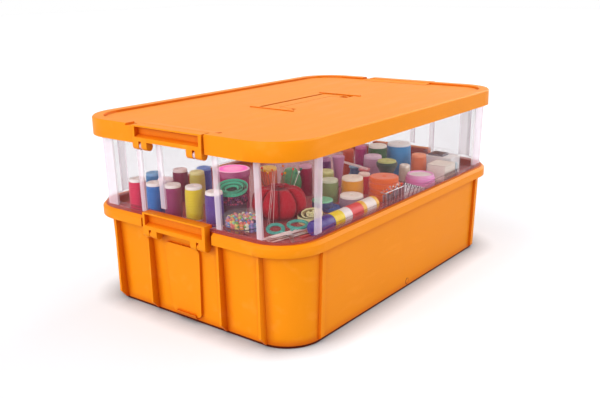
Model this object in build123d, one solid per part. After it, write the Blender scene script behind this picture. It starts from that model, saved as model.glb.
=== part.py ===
from build123d import *
from collections import namedtuple
import math
import os

# A two-storey carrying box for thread and sewing notions, in millimetres.
# X runs along the box, Y across it, Z up; the origin is at the middle of the footprint.

# --- lid -----------------------------------------------------------------------------------
LID_LENGTH = 480.0
LID_WIDTH = 312.0
LID_CORNER = 52.0
LID_WALL = 2.6
SKIRT_DEPTH = 20.3
PANEL_DROP = 2.4          # the top panel lies this far below the raised rim
RIM_BAND = 13.0           # breadth of the raised rim
RIM_GROOVE = 2.0          # shallow groove at the rim's foot
GROOVE_DEPTH = 0.7
RIM_BREAK = 12.0          # extra length of the rim's break beside a latch, on its +Y side
RAMP_REACH = 14.0         # the panel rises to the latch's lip over this distance
LID_EDGE_BREAK = 1.4

# --- clear tray ----------------------------------------------------------------------------
TRAY_WALL = 2.4
TRAY_FLOOR = 2.4
TRAY_SIDE_HEIGHT = 96.0   # from the ledge to the top of the wall
TRAY_LEAN = 2.5           # each wall leans out by this much on the way up
TRAY_STEP = 6.5           # the tray's long walls stand this far in from the tub's
TRAY_RIM_OUT = 4.4        # stiffening rim round the mouth
TRAY_RIM_HEIGHT = 4.0
LEDGE_OUT = 5.0           # ledge that stands on the tub
LEDGE_THICK = 3.4
FOOT_INSET = 6.0          # the foot below the ledge drops into the tub
FOOT_DEPTH = 10.5
TRAY_RIB_PROUD = 3.6
TRAY_END_RIBS = ((110, 16), (57, 7), (25, 7), (-57, 7), (-112, 7))  # place and breadth, near end
TRAY_NARROW_RIB = 10.0
TRAY_PILASTER = 22.0
TRAY_NEAR_RIB_X = -180.0
TRAY_FAR_RIB_X = 185.0

# --- base tub ------------------------------------------------------------------------------
TUB_HEIGHT = 116.5
TUB_LEAN = 4.0            # each wall leans out by this much on the way up
TUB_WALL = 3.0
TUB_FLOOR = 3.2
TUB_BASE_STEP = 2.6       # small set-in at the very bottom
BEAD_INSET = 6.0          # the turned-down rim stops this far short of the lid's ends
BEAD_SPREAD = 1.5         # and passes its long sides by this much
BEAD_END_OUT = 10.0       # how far the rim stands out from the tub's end walls
BEAD_SIDE_OUT = 6.0
BEAD_DEPTH = 12.5
BEAD_SKIN = 2.8
BEAD_BREAK = 3.2          # slope along its outer edge

# --- ribs and pads on the tub --------------------------------------------------------------
RIB_THICK = 3.2
END_RIB_INSET = 4.0       # the end ribs stop this far short of the rim's face
END_RIB_OUTER_Y = 109.0
END_RIB_INNER_Y = 53.8
SIDE_RIB_X = 178.0
SIDE_RIB_PROUD = 3.4
PAD_TOP_WIDTH = 54.0
PAD_FOOT_WIDTH = 44.0
PAD_PROUD = 3.2
PAD_BOTTOM = 8.0
PAD_ROUND = 6.0
TAB_WIDTH = 30.0
TAB_HEIGHT = 5.0
TAB_PROUD = 2.4

# --- latches -------------------------------------------------------------------------------
UPPER_HALF = 51.5         # half of an upper latch's breadth
UPPER_RISE = 22.6         # from its hinge axis to the top of its lip
LOWER_HALF = 48.0
LOWER_RISE = 24.4
LOWER_SHIFT = 3.5         # the lower latches stand this far off the middle
LATCH_OUT = 4.4           # from the hinge axis to the latch's front
LATCH_BACK = 4.1          # from the hinge axis to the latch's back
LATCH_CORNER = 6.0
LIP_REACH = 7.3           # the lip reaches this far inwards from the hinge axis
LIP_FRONT = 1.4           # the lip is thin at its front edge
LIP_BACK = 3.4
POCKET_DEPTH = 5.8
POCKET_CHEEK = 4.0
BAR_TOP = 12.5            # height above the hinge axis where the grip bar begins
BAR_FRONT = 9.5
BAR_BOTTOM = 5.2
LATCH_SKIN = 2.4
FOOT_WIDTH_Y = 22.0
SLOT_INSET = 11.4         # the hinge slot lies this far in from the foot's outer end
SLOT_WIDTH = 3.8
SLOT_ROOM = 1.4           # room in the slot behind and above the hinge ear
HINGE_RADIUS = 2.4
HINGE_FIT = 0.06
EAR_THICK = 3.2
EAR_WRAP = 1.6
UPPER_INSET = 1.9         # hinge axis of an upper latch, in from the lid's end
LOWER_INSET = 6.9
LOWER_LIP_RISE = 6.4      # a lower latch's lip stands this far above the tub's rim
LATCH_GAP = 1.2           # room round a latch in the edge that it fills
BEAD_GAP = 6.0            # the gap in the tub's bead is this much wider, each side
LIP_GAP = 0.4

# --- handle --------------------------------------------------------------------------------
WELL_LENGTH = 140.0
WELL_FAR_Y = 25.5
WELL_NEAR_Y = -25.5
WELL_DEPTH = 10.6
WELL_CORNER = 5.0
WELL_LIP_LENGTH = 66.0
WELL_LIP_WIDTH = 3.0
WELL_LIP_HEIGHT = 1.0
BAIL_GAP = 2.0
BAIL_SLOT = 3.5           # room for fingertips along the handle's far edge
BAIL_THICK = 9.0
BAIL_ARM = 14.0
BAIL_GRIP = 19.0
BAIL_SINK = 0.4           # the folded handle lies this far below the panel
BAIL_WALL = 2.4
BAIL_CORNER = 6.0
PIVOT_Y = -16.0
PIVOT_DROP = 5.3          # hinge axis of the handle below the panel
PIVOT_END_RADIUS = 4.8
PIN_RADIUS = 2.2
PIN_FIT = 0.06
PIN_GRIP = 4.0            # length of a handle pin held in the lid
ISLAND_GAP = 1.0
ISLAND_NEAR_GAP = 1.6
THUMB_WIDTH = 9.0         # hollow beside the right-hand pivot
THUMB_LENGTH = 15.0

# --- spools of thread ----------------------------------------------------------------------
# Places in the tray are measured from the near corner of its floor, X along the long wall
# and Y from it. Each spool is given as x, y, the radius of its winding and its height.
Item = namedtuple("Item", "x y radius height")
SPOOL_RADIUS = 9.5
SPOOL_HEIGHT = 40.0
SPOOL_CAP = 3.6
SPOOL_CAP_INSET = 0.7     # the cap is this much smaller than the winding
SPOOL_FOOT = 1.6
SPOOL_CORE = 4.5
WIND_GAP = 0.1            # between a winding and the reel that it sits on
SMALL_SIDES = 12          # small rounds are cut as flats, so that dozens of them stay light
LARGE_SIDES = 18
LARGE_ROUND = 12.0

END_ROW = {
    "red": Item(12.1, 235.2, SPOOL_RADIUS, SPOOL_HEIGHT),
    "blue": Item(11.1, 204.2, SPOOL_RADIUS, SPOOL_HEIGHT),
    "maroon": Item(17.1, 181.2, SPOOL_RADIUS, SPOOL_HEIGHT),
    "yellow": Item(25.6, 156.2, SPOOL_RADIUS, SPOOL_HEIGHT),
    "purple": Item(21.6, 121.2, SPOOL_RADIUS, SPOOL_HEIGHT),
}
MIDDLE_ROWS = {
    "sky": Item(42.6, 241.2, SPOOL_RADIUS, SPOOL_HEIGHT),
    "mauve": Item(30.6, 207.2, SPOOL_RADIUS, SPOOL_HEIGHT),
    "brown": Item(72.6, 227.2, SPOOL_RADIUS, SPOOL_HEIGHT),
    "khaki": Item(75.6, 201.2, SPOOL_RADIUS, SPOOL_HEIGHT),
    "violet": Item(95.6, 209.7, SPOOL_RADIUS, SPOOL_HEIGHT),
    "sage": Item(172.6, 75.2, 11.0, 28.0),
    "olive": Item(192.6, 94.7, 10.0, 32.0),
    "orange": Item(190.6, 54.2, 13.5, 30.0),
    "pearl": Item(165.6, 38.7, 14.5, 16.0),
    "terracotta": Item(339.6, 46.2, 10.5, 31.0),
    "big_sky": Item(344.6, 80.2, 16.5, 42.0),
    "bottle_green": Item(316.6, 97.2, 13.0, 42.0),
    "blush": Item(291.6, 89.2, 12.5, 33.0),
    "ivory": Item(309.6, 50.7, 7.5, 22.0),
    "magenta": Item(304.6, 116.2, 8.5, 40.0),
    "rust": Item(279.6, 120.2, 8.0, 40.0),
    "plum": Item(217.6, 114.2, 8.0, 40.0),
    "wine": Item(180.6, 117.2, 8.5, 38.0),
    "crimson": Item(227.6, 61.2, 8.0, 26.0),
    "amber": Item(139.6, 143.2, 11.0, 40.0),
}
# Spools that share a node, by the family of their colour.
THREAD_NODES = {
    "thread_red": ("red",),
    "thread_blue": ("blue",),
    "thread_maroon": ("maroon", "brown"),
    "thread_yellow": ("yellow",),
    "thread_purple": ("purple", "violet", "plum"),
    "thread_sky": ("sky", "big_sky"),
    "thread_mauve": ("mauve",),
    "thread_khaki": ("khaki", "sage", "olive"),
    "thread_orange": ("orange", "amber"),
    "thread_terracotta": ("terracotta", "rust"),
    "thread_crimson": ("crimson", "wine"),
    "thread_magenta": ("magenta",),
    "thread_green": ("bottle_green",),
    "thread_pale": ("pearl", "blush", "ivory"),
}
REEL_NODES = {
    "reels_white": ("red", "blue", "maroon", "yellow", "purple"),
    "caps_tinted": ("sky", "mauve", "brown", "khaki", "violet"),
    "caps_grey": ("sage", "blush", "plum", "wine", "magenta", "rust", "amber", "olive"),
    "caps_cream": ("orange", "pearl", "terracotta", "big_sky", "bottle_green", "ivory", "crimson"),
}

# --- tins, rolls and jars ------------------------------------------------------------------
TIN = Item(86.6, 152.2, 20.0, 48.0)
TIN_LID = 8.0
BEADED_ROLL = Item(52.6, 123.2, 17.5, 34.0)
COIL_RADIUS = 18.0
COIL_BORE = 11.0
COIL_HEIGHT = 8.0
BEAD_JAR = Item(27.6, 85.2, 19.0, 21.0)
JAR_WALL = 1.5
JAR_LID = 4.0
PINK_TIN = Item(302.6, 23.2, 19.0, 15.0)
PINK_TIN_TOP = 4.0
TAPE_ROLL = Item(93.6, 43.2, 16.0, 12.0)
TAPE_BORE = 5.0
FLAT_DISC = Item(142.6, 52.2, 11.5, 5.0)
LEANING_DISC = Item(134.6, 58.2, 12.5, 9.8)
WOUND_STACK = Item(220.6, 28.2, 19.0, 28.0)
WOUND_LAYERS = 4
WOUND_STEP = 1.2          # every other layer of the stack is this much smaller
MOSS_BALL = Item(158.6, 123.2, 13.0, 38.0)
PINE_ROLL = Item(276.6, 58.2, 13.5, 33.0)
PINE_FACE = 2.0
CONE = Item(235.1, 105.7, 8.0, 40.0)
CONE_TIP = 3.5
CONE_NODE = "thread_mauve"
BOBBINS_BLUE = Item(258.6, 95.7, 8.0, 24.0)
BOBBINS_PINK = Item(252.6, 77.2, 7.5, 24.0)
BOBBIN_COUNT = 2
BOBBIN_WAIST = 1.5

# --- pincushion ----------------------------------------------------------------------------
CUSHION = Item(86.6, 85.2, 29.0, 38.0)
CUSHION_FOOT = 18.0
CUSHION_LOW = 25.8        # radius a third of the way up, beside the tape roll
CUSHION_SHOULDER = 19.0
CROWN_RADIUS = 12.0
CROWN_LEAVES = 6
CROWN_THICK = 2.0

# --- scissors and tweezers -----------------------------------------------------------------
LOOP_PLACES = ((50.6, 60.2), (66.1, 46.2))
LOOP_RADIUS = 10.3
LOOP_BORE = 7.0
LOOP_THICK = 4.0
SCISSOR_PIVOT = (39.6, 31.7)
SCISSOR_TIP = (21.1, 11.6)
SHANK_WIDTH = 5.0
BLADE_THICK = 1.5
BLADE_WIDTH = 7.0
SCREW_RADIUS = 3.0
HUB_RADIUS = 5.2          # the handles stop this far from the screw
TWEEZER_ENDS = ((7.6, 40.2), (69.6, 24.7))
TWEEZER_THICK = 1.6
TWEEZER_WIDTH = 2.2
TWEEZER_GAP = 1.0
LONG_TWEEZER_ENDS = ((250.6, 71.2), (271.6, 135.2))

# --- glue tube, boxes and cards ------------------------------------------------------------
TUBE_RADIUS = 10.5
TUBE_Y = 10.8
TUBE_CAP_X = 40.6
TUBE_BODY_X = 88.6
TUBE_END_X = 176.6
PIN_CASE = Item(198.6, 13.2, 13.5, 24.0)
PIN_CASE_WIDTH = 9.0
PIN_CASE_TURN = -42.0
PIN_CARD_MIDDLE = (249.6, 2.7)
PIN_CARD_SIZE = (50.0, 3.0, 20.0)
CREAM_BOX_MIDDLE = (343.6, 14.7)
CREAM_BOX_SIZE = (30.0, 27.0, 22.0)
BLUE_BOX_MIDDLE = (362.6, 12.2)
BLUE_BOX_SIZE = (6.5, 22.0, 20.0)
NEEDLE_BOX_MIDDLE = (382.1, 33.2)
NEEDLE_BOX_SIZE = (30.0, 44.0, 30.0)
NEEDLE_BOX_WALL = 1.2

# --- seats and gaps ------------------------------------------------------------------------
SEAT_GAP = 0.2            # play between storeys
TINY = 0.5                # overshoot of cutters

# --- heights and reaches that follow -------------------------------------------------------
BEAD_LENGTH = LID_LENGTH - 2 * BEAD_INSET
BEAD_WIDTH = LID_WIDTH + 2 * BEAD_SPREAD
BEAD_CORNER = LID_CORNER
TUB_TOP_LENGTH = BEAD_LENGTH - 2 * BEAD_END_OUT
TUB_TOP_WIDTH = BEAD_WIDTH - 2 * BEAD_SIDE_OUT
TUB_TOP_CORNER = BEAD_CORNER - BEAD_SIDE_OUT
TUB_BASE_LENGTH = TUB_TOP_LENGTH - 2 * TUB_LEAN
TUB_BASE_WIDTH = TUB_TOP_WIDTH - 2 * TUB_LEAN
TUB_BASE_CORNER = TUB_TOP_CORNER - TUB_LEAN
END_RIB_REACH = BEAD_LENGTH / 2 - END_RIB_INSET
LEDGE_Z = TUB_HEIGHT + SEAT_GAP
TRAY_TOP = LEDGE_Z + LEDGE_THICK + TRAY_SIDE_HEIGHT
FLOOR_UNDER = TUB_HEIGHT - FOOT_DEPTH
FLOOR_TOP = FLOOR_UNDER + TRAY_FLOOR
PANEL_UNDER = TRAY_TOP + SEAT_GAP
PANEL_TOP = PANEL_UNDER + LID_WALL
LID_TOP = PANEL_TOP + PANEL_DROP
SKIRT_BOTTOM = LID_TOP - SKIRT_DEPTH
UPPER_AXIS_X = LID_LENGTH / 2 - UPPER_INSET
UPPER_AXIS_Z = LID_TOP - UPPER_RISE
LOWER_AXIS_X = LID_LENGTH / 2 - LOWER_INSET
LOWER_AXIS_Z = TUB_HEIGHT + LOWER_LIP_RISE - LOWER_RISE
TRAY_LOW_LENGTH = 2 * (LOWER_AXIS_X - LIP_REACH - 2 * LIP_GAP)
TRAY_LOW_WIDTH = TUB_TOP_WIDTH - 2 * TRAY_STEP
TRAY_HIGH_LENGTH = TRAY_LOW_LENGTH + 2 * TRAY_LEAN
TRAY_HIGH_WIDTH = TRAY_LOW_WIDTH + 2 * TRAY_LEAN
TRAY_CORNER = TUB_TOP_CORNER - TRAY_STEP
FOOT_LENGTH = TRAY_LOW_LENGTH - 2 * FOOT_INSET
FOOT_WIDTH = TRAY_LOW_WIDTH - 2 * TRAY_WALL
FLOOR_LENGTH = FOOT_LENGTH - 2 * TRAY_WALL
FLOOR_WIDTH = FOOT_WIDTH - 2 * TRAY_WALL
BAIL_TOP = PANEL_TOP - BAIL_SINK
PIVOT_Z = PANEL_TOP - PIVOT_DROP
ENDS = (-1, 1)


def slab(length, width, height, radius, z):
    """A block with rounded upright corners, standing at height z."""
    with BuildSketch(Plane.XY.offset(z)) as outline:
        RectangleRounded(length, width, radius)
    return extrude(outline.sketch, height)


def leaning(length, width, radius, z_low, z_high, lean):
    """A block with rounded upright corners whose walls lean out by so much on the way up."""
    height = z_high - z_low
    with BuildSketch(Plane.XY.offset(z_low)) as outline:
        RectangleRounded(length, width, radius)
    return extrude(outline.sketch, height, taper=-math.degrees(math.atan2(lean, height)))


def block(x0, x1, y0, y1, z0, z1):
    """A plain block between two corners, whichever way round they are given."""
    size = (abs(x1 - x0), abs(y1 - y0), abs(z1 - z0))
    middle = ((x0 + x1) / 2, (y0 + y1) / 2, (z0 + z1) / 2)
    return Pos(*middle) * Box(*size)


def rod_y(x, z, radius, y0, y1):
    """A round bar along Y."""
    return Pos(x, (y0 + y1) / 2, z) * Rot(90, 0, 0) * Cylinder(radius, abs(y1 - y0))


def rod_x(y, z, radius, x0, x1):
    """A round bar along X."""
    return Pos((x0 + x1) / 2, y, z) * Rot(0, 90, 0) * Cylinder(radius, abs(x1 - x0))


def plate_y(points, y0, y1):
    """A plate between two Y planes, its outline given as (x, z) points."""
    with BuildSketch(Plane.XZ.offset(-max(y0, y1))) as outline:
        Polygon(*points, align=None)
    return extrude(outline.sketch, abs(y1 - y0))


def plate_x(points, x0, x1):
    """A plate between two X planes, its outline given as (y, z) points."""
    with BuildSketch(Plane.YZ.offset(min(x0, x1))) as outline:
        Polygon(*points, align=None)
    return extrude(outline.sketch, abs(x1 - x0))


def write(shapes, node):
    """One sub-part, one file."""
    solids = [solid for shape in shapes for solid in shape.solids()]
    export_step(Compound(children=solids), f"parts/{node}.step")


# --- the hinge that the latches share ------------------------------------------------------
def slots(half):
    """Middles of a latch's two hinge slots, across its breadth."""
    return (half - SLOT_INSET, SLOT_INSET - half)


def ear(end, axis_x, axis_z, wall_x, y):
    """A hinge ear: a lug from the wall out round the hinge bar, rounded at its tip."""
    radius = HINGE_RADIUS + HINGE_FIT + EAR_WRAP
    y0, y1 = y - EAR_THICK / 2, y + EAR_THICK / 2
    lug = rod_y(end * axis_x, axis_z, radius, y0, y1)
    lug += plate_y(
        (
            (end * axis_x, axis_z + radius),
            (end * wall_x, axis_z + radius),
            (end * wall_x, axis_z - 2 * radius),
            (end * axis_x, axis_z - radius),
        ),
        y0,
        y1,
    )
    return lug - rod_y(end * axis_x, axis_z, HINGE_RADIUS + HINGE_FIT, y0 - TINY, y1 + TINY)


def latch_front(half, rise):
    """Outline of a latch seen from outside: rounded upper corners, two feet below."""
    with BuildSketch(Plane.YZ.offset(-LIP_REACH)) as front:
        with BuildLine():
            Polyline((-half, BAR_BOTTOM), (-half, rise), (half, rise), (half, BAR_BOTTOM), close=True)
        make_face()
        fillet([corner for corner in front.vertices() if corner.Z > rise - TINY], LATCH_CORNER)
    return extrude(front.sketch, LIP_REACH + LATCH_OUT)


def make_latch(half, rise):
    """A snap latch about its hinge axis: +X outwards, Z up, the axis along Y."""
    body = latch_front(half, rise)
    top_edges = [
        edge
        for edge in body.edges()
        if abs(edge.center().X - LATCH_OUT) < TINY and edge.center().Z > BAR_BOTTOM + TINY
    ]
    body = fillet(top_edges, LIP_FRONT / 2)
    inner = half - POCKET_CHEEK
    web = LATCH_OUT - POCKET_DEPTH
    body -= block(-LIP_REACH - TINY, -LATCH_BACK, -2 * half, 2 * half, 0, rise - LIP_BACK)
    body -= plate_y(
        (
            (LATCH_OUT + TINY, BAR_FRONT),
            (LATCH_OUT + TINY, rise - LIP_FRONT),
            (web, rise - LIP_BACK),
            (web, BAR_TOP),
        ),
        -inner,
        inner,
    )
    body -= block(-LATCH_BACK - TINY, LATCH_OUT - LATCH_SKIN, -inner, inner, BAR_BOTTOM - TINY,
                  BAR_FRONT - LATCH_SKIN)
    for side, slot_y in zip((1, -1), slots(half)):
        outer = side * half
        inner_end = side * (half - FOOT_WIDTH_Y)
        body += block(-LATCH_BACK, LATCH_OUT, inner_end, outer, 0, BAR_BOTTOM + LATCH_SKIN)
        body += rod_y(0, 0, LATCH_OUT, inner_end, outer)
        y0, y1 = slot_y - SLOT_WIDTH / 2, slot_y + SLOT_WIDTH / 2
        body -= block(-LATCH_OUT - TINY, LATCH_OUT + TINY, y0, y1, -LATCH_OUT - TINY,
                      HINGE_RADIUS + HINGE_FIT + EAR_WRAP + SLOT_ROOM)
        body += rod_y(0, 0, HINGE_RADIUS, y0 - TINY, y1 + TINY)
    return body


# --- base tub ------------------------------------------------------------------------------
def tub_wall_x(z):
    """Outer face of the end walls at height z."""
    share = (z - TUB_BASE_STEP) / (TUB_HEIGHT - TUB_BASE_STEP)
    return (TUB_BASE_LENGTH + (TUB_TOP_LENGTH - TUB_BASE_LENGTH) * share) / 2


def tub_rib(end, y, top_z):
    """An upright fin on an end wall, its outer edge plumb and its foot cut back."""
    foot_z = TUB_BASE_STEP
    bury = TUB_WALL / 2
    points = (
        (end * (tub_wall_x(foot_z) - bury), foot_z),
        (end * (tub_wall_x(foot_z) + bury), foot_z),
        (end * END_RIB_REACH, foot_z + END_RIB_REACH - tub_wall_x(foot_z)),
        (end * END_RIB_REACH, top_z),
        (end * (tub_wall_x(top_z) - bury), top_z),
    )
    return plate_y(points, y - RIB_THICK / 2, y + RIB_THICK / 2)


def side_rib(x, side):
    """A shallow upright rib on a long wall, up into the bead."""
    bury = TUB_WALL / 2
    base_y = TUB_BASE_WIDTH / 2
    top_y = TUB_TOP_WIDTH / 2
    foot_z = TUB_BASE_STEP
    top_z = TUB_HEIGHT - BEAD_SKIN
    points = (
        (side * (base_y - bury), foot_z),
        (side * (base_y + SIDE_RIB_PROUD), foot_z + SIDE_RIB_PROUD),
        (side * (top_y + SIDE_RIB_PROUD), top_z),
        (side * (top_y - bury), top_z),
    )
    return plate_x(points, x - RIB_THICK, x + RIB_THICK)


def end_pad(end):
    """The raised pad below a lower latch, narrowing downwards, with a tab at its foot."""
    middle_y = -end * LOWER_SHIFT
    top_z = LOWER_AXIS_Z - LOWER_RISE / 3
    lean = math.degrees(math.atan2(TUB_TOP_LENGTH - TUB_BASE_LENGTH, 2 * TUB_HEIGHT))
    wall = Plane(
        origin=(end * tub_wall_x(PAD_BOTTOM), middle_y, PAD_BOTTOM),
        x_dir=(0, end, 0),
        z_dir=(end * math.cos(math.radians(lean)), 0, -math.sin(math.radians(lean))),
    )
    with BuildSketch(wall) as outline:
        with BuildLine():
            Polyline(
                (-PAD_FOOT_WIDTH / 2, 0),
                (PAD_FOOT_WIDTH / 2, 0),
                (PAD_TOP_WIDTH / 2, top_z - PAD_BOTTOM),
                (-PAD_TOP_WIDTH / 2, top_z - PAD_BOTTOM),
                close=True,
            )
        make_face()
        fillet(outline.vertices(), PAD_ROUND)
    pad = extrude(outline.sketch, PAD_PROUD) + extrude(outline.sketch, -TUB_WALL / 2)
    wall_x = tub_wall_x(PAD_BOTTOM)
    points = (
        (end * (wall_x - TUB_WALL / 2), PAD_BOTTOM - TAB_HEIGHT / 2),
        (end * (wall_x + PAD_PROUD), PAD_BOTTOM - TAB_HEIGHT / 2),
        (end * (wall_x + PAD_PROUD + TAB_PROUD), PAD_BOTTOM + TAB_HEIGHT / 2),
        (end * (wall_x - TUB_WALL / 2), PAD_BOTTOM + TAB_HEIGHT / 2),
    )
    return pad + plate_y(points, middle_y - TAB_WIDTH / 2, middle_y + TAB_WIDTH / 2)


def make_tub():
    body = leaning(TUB_BASE_LENGTH, TUB_BASE_WIDTH, TUB_BASE_CORNER, TUB_BASE_STEP, TUB_HEIGHT, TUB_LEAN)
    body += slab(TUB_BASE_LENGTH - TUB_BASE_STEP, TUB_BASE_WIDTH - TUB_BASE_STEP, TUB_BASE_STEP,
                 TUB_BASE_CORNER - TUB_BASE_STEP / 2, 0)
    bead = slab(BEAD_LENGTH, BEAD_WIDTH, BEAD_DEPTH, BEAD_CORNER, TUB_HEIGHT - BEAD_DEPTH)
    bead = chamfer(bead.faces().sort_by(Axis.Z)[-1].edges(), BEAD_BREAK)
    bead -= slab(BEAD_LENGTH - 2 * BEAD_SKIN, BEAD_WIDTH - 2 * BEAD_SKIN, BEAD_DEPTH - BEAD_BREAK,
                 BEAD_CORNER - BEAD_SKIN, TUB_HEIGHT - BEAD_DEPTH)
    notch = LOWER_HALF + BEAD_GAP
    for end in ENDS:
        middle_y = -end * LOWER_SHIFT
        bead -= block(end * (LOWER_AXIS_X - LIP_REACH - LIP_GAP), end * BEAD_LENGTH,
                      middle_y - notch, middle_y + notch, 0, LID_TOP)
    body += bead
    for end in ENDS:
        rib_top = TUB_HEIGHT - BEAD_BREAK
        for y, top_z in (
            (-END_RIB_OUTER_Y, rib_top),
            (-END_RIB_INNER_Y, rib_top),
            (END_RIB_INNER_Y, rib_top),
            (END_RIB_OUTER_Y, rib_top),
        ):
            beside_latch = y * -end == END_RIB_INNER_Y
            body += tub_rib(end, y, LOWER_AXIS_Z - 2 * LATCH_OUT if beside_latch else top_z)
        for slot_y in slots(LOWER_HALF):
            body += ear(end, LOWER_AXIS_X, LOWER_AXIS_Z, TUB_TOP_LENGTH / 2 - TUB_WALL,
                        slot_y - end * LOWER_SHIFT)
        body += end_pad(end)
    for side in (-1, 1):
        for x in (-SIDE_RIB_X, SIDE_RIB_X):
            body += side_rib(x, side)
    return body - leaning(TUB_BASE_LENGTH - 2 * TUB_WALL, TUB_BASE_WIDTH - 2 * TUB_WALL,
                          TUB_BASE_CORNER - TUB_WALL, TUB_FLOOR, TUB_HEIGHT, TUB_LEAN)


# --- clear tray ----------------------------------------------------------------------------
def tray_end_rib(end, y, width):
    """An upright rib on an end wall of the tray."""
    x = TRAY_LOW_LENGTH / 2
    z0 = LEDGE_Z + LEDGE_THICK / 2
    z1 = TRAY_TOP - TRAY_RIM_HEIGHT / 2
    points = (
        (end * (x - TRAY_WALL / 2), z0),
        (end * (x + TRAY_RIB_PROUD), z0),
        (end * (x + TRAY_LEAN + TRAY_RIB_PROUD), z1),
        (end * (x + TRAY_LEAN - TRAY_WALL / 2), z1),
    )
    return plate_y(points, y - width / 2, y + width / 2)


def tray_side_rib(x, side, width):
    """An upright rib on a long wall of the tray."""
    y = TRAY_LOW_WIDTH / 2
    z0 = LEDGE_Z + LEDGE_THICK / 2
    z1 = TRAY_TOP - TRAY_RIM_HEIGHT / 2
    points = (
        (side * (y - TRAY_WALL / 2), z0),
        (side * (y + TRAY_RIB_PROUD), z0),
        (side * (y + TRAY_LEAN + TRAY_RIB_PROUD), z1),
        (side * (y + TRAY_LEAN - TRAY_WALL / 2), z1),
    )
    return plate_x(points, x - width / 2, x + width / 2)


def make_tray():
    body = leaning(TRAY_LOW_LENGTH, TRAY_LOW_WIDTH, TRAY_CORNER, LEDGE_Z, TRAY_TOP, TRAY_LEAN)
    body += slab(TRAY_LOW_LENGTH + 2 * LEDGE_OUT, TRAY_LOW_WIDTH + 2 * LEDGE_OUT, LEDGE_THICK,
                 TRAY_CORNER + LEDGE_OUT, LEDGE_Z)
    body += slab(TRAY_HIGH_LENGTH + 2 * TRAY_RIM_OUT, TRAY_HIGH_WIDTH + 2 * TRAY_RIM_OUT, TRAY_RIM_HEIGHT,
                 TRAY_CORNER + TRAY_RIM_OUT, TRAY_TOP - TRAY_RIM_HEIGHT)
    body += slab(FOOT_LENGTH, FOOT_WIDTH, LEDGE_Z - FLOOR_UNDER, TRAY_CORNER - FOOT_INSET, FLOOR_UNDER)
    notch = LOWER_HALF + LATCH_GAP
    for end in ENDS:
        middle_y = -end * LOWER_SHIFT
        for y, width in TRAY_END_RIBS:
            body += tray_end_rib(end, -end * y, width)
        body -= block(end * (LOWER_AXIS_X - LIP_REACH - LIP_GAP), end * BEAD_LENGTH, middle_y - notch,
                      middle_y + notch, 0, LOWER_AXIS_Z + LOWER_RISE + LATCH_CORNER)
        for slot_y in slots(UPPER_HALF):
            body += ear(end, UPPER_AXIS_X, UPPER_AXIS_Z, TRAY_HIGH_LENGTH / 2 - TRAY_WALL / 2, slot_y)
    for side in (-1, 1):
        body += tray_side_rib(TRAY_NEAR_RIB_X, side, TRAY_NARROW_RIB)
        body += tray_side_rib(TRAY_FAR_RIB_X, side, TRAY_PILASTER)
    body -= leaning(TRAY_LOW_LENGTH - 2 * TRAY_WALL, TRAY_LOW_WIDTH - 2 * TRAY_WALL, TRAY_CORNER - TRAY_WALL,
                    LEDGE_Z + LEDGE_THICK, TRAY_TOP, TRAY_LEAN)
    return body - slab(FLOOR_LENGTH, FLOOR_WIDTH, LEDGE_Z + LEDGE_THICK - FLOOR_TOP,
                       TRAY_CORNER - FOOT_INSET - TRAY_WALL, FLOOR_TOP)


# --- lid -----------------------------------------------------------------------------------
def well_block(grow, z0, z1):
    """The handle well's room, grown by a wall."""
    width = WELL_FAR_Y - WELL_NEAR_Y + 2 * grow
    middle = (WELL_FAR_Y + WELL_NEAR_Y) / 2
    return Pos(0, middle, 0) * slab(WELL_LENGTH + 2 * grow, width, z1 - z0, WELL_CORNER + grow, z0)


def island():
    """The raised middle of the well that fills the folded handle's loop, and its hollow underside."""
    half = WELL_LENGTH / 2 - BAIL_GAP - BAIL_ARM - ISLAND_GAP
    near_y = WELL_NEAR_Y + ISLAND_NEAR_GAP
    far_y = WELL_FAR_Y - BAIL_SLOT - BAIL_GRIP - ISLAND_GAP
    floor_z = PANEL_TOP - WELL_DEPTH
    top = block(-half, half, near_y, far_y, floor_z - LID_WALL, PANEL_TOP - BAIL_SINK)
    hollow = block(-half + LID_WALL, half - LID_WALL, near_y + LID_WALL, far_y - LID_WALL,
                   floor_z - 2 * LID_WALL, PANEL_TOP - 2 * LID_WALL)
    return top, hollow


def latch_ramp(end):
    """The panel rises in a shallow ramp to the lip of an upper latch."""
    edge_x = UPPER_AXIS_X - LIP_REACH - LIP_GAP
    foot_x = LID_LENGTH / 2 - RIM_BAND - RAMP_REACH
    half = UPPER_HALF + LATCH_GAP
    points = (
        (end * foot_x, PANEL_TOP - TINY),
        (end * edge_x, PANEL_TOP - TINY),
        (end * edge_x, LID_TOP),
        (end * foot_x, PANEL_TOP + TINY / 2),
    )
    return plate_y(points, -half, half)


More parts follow.
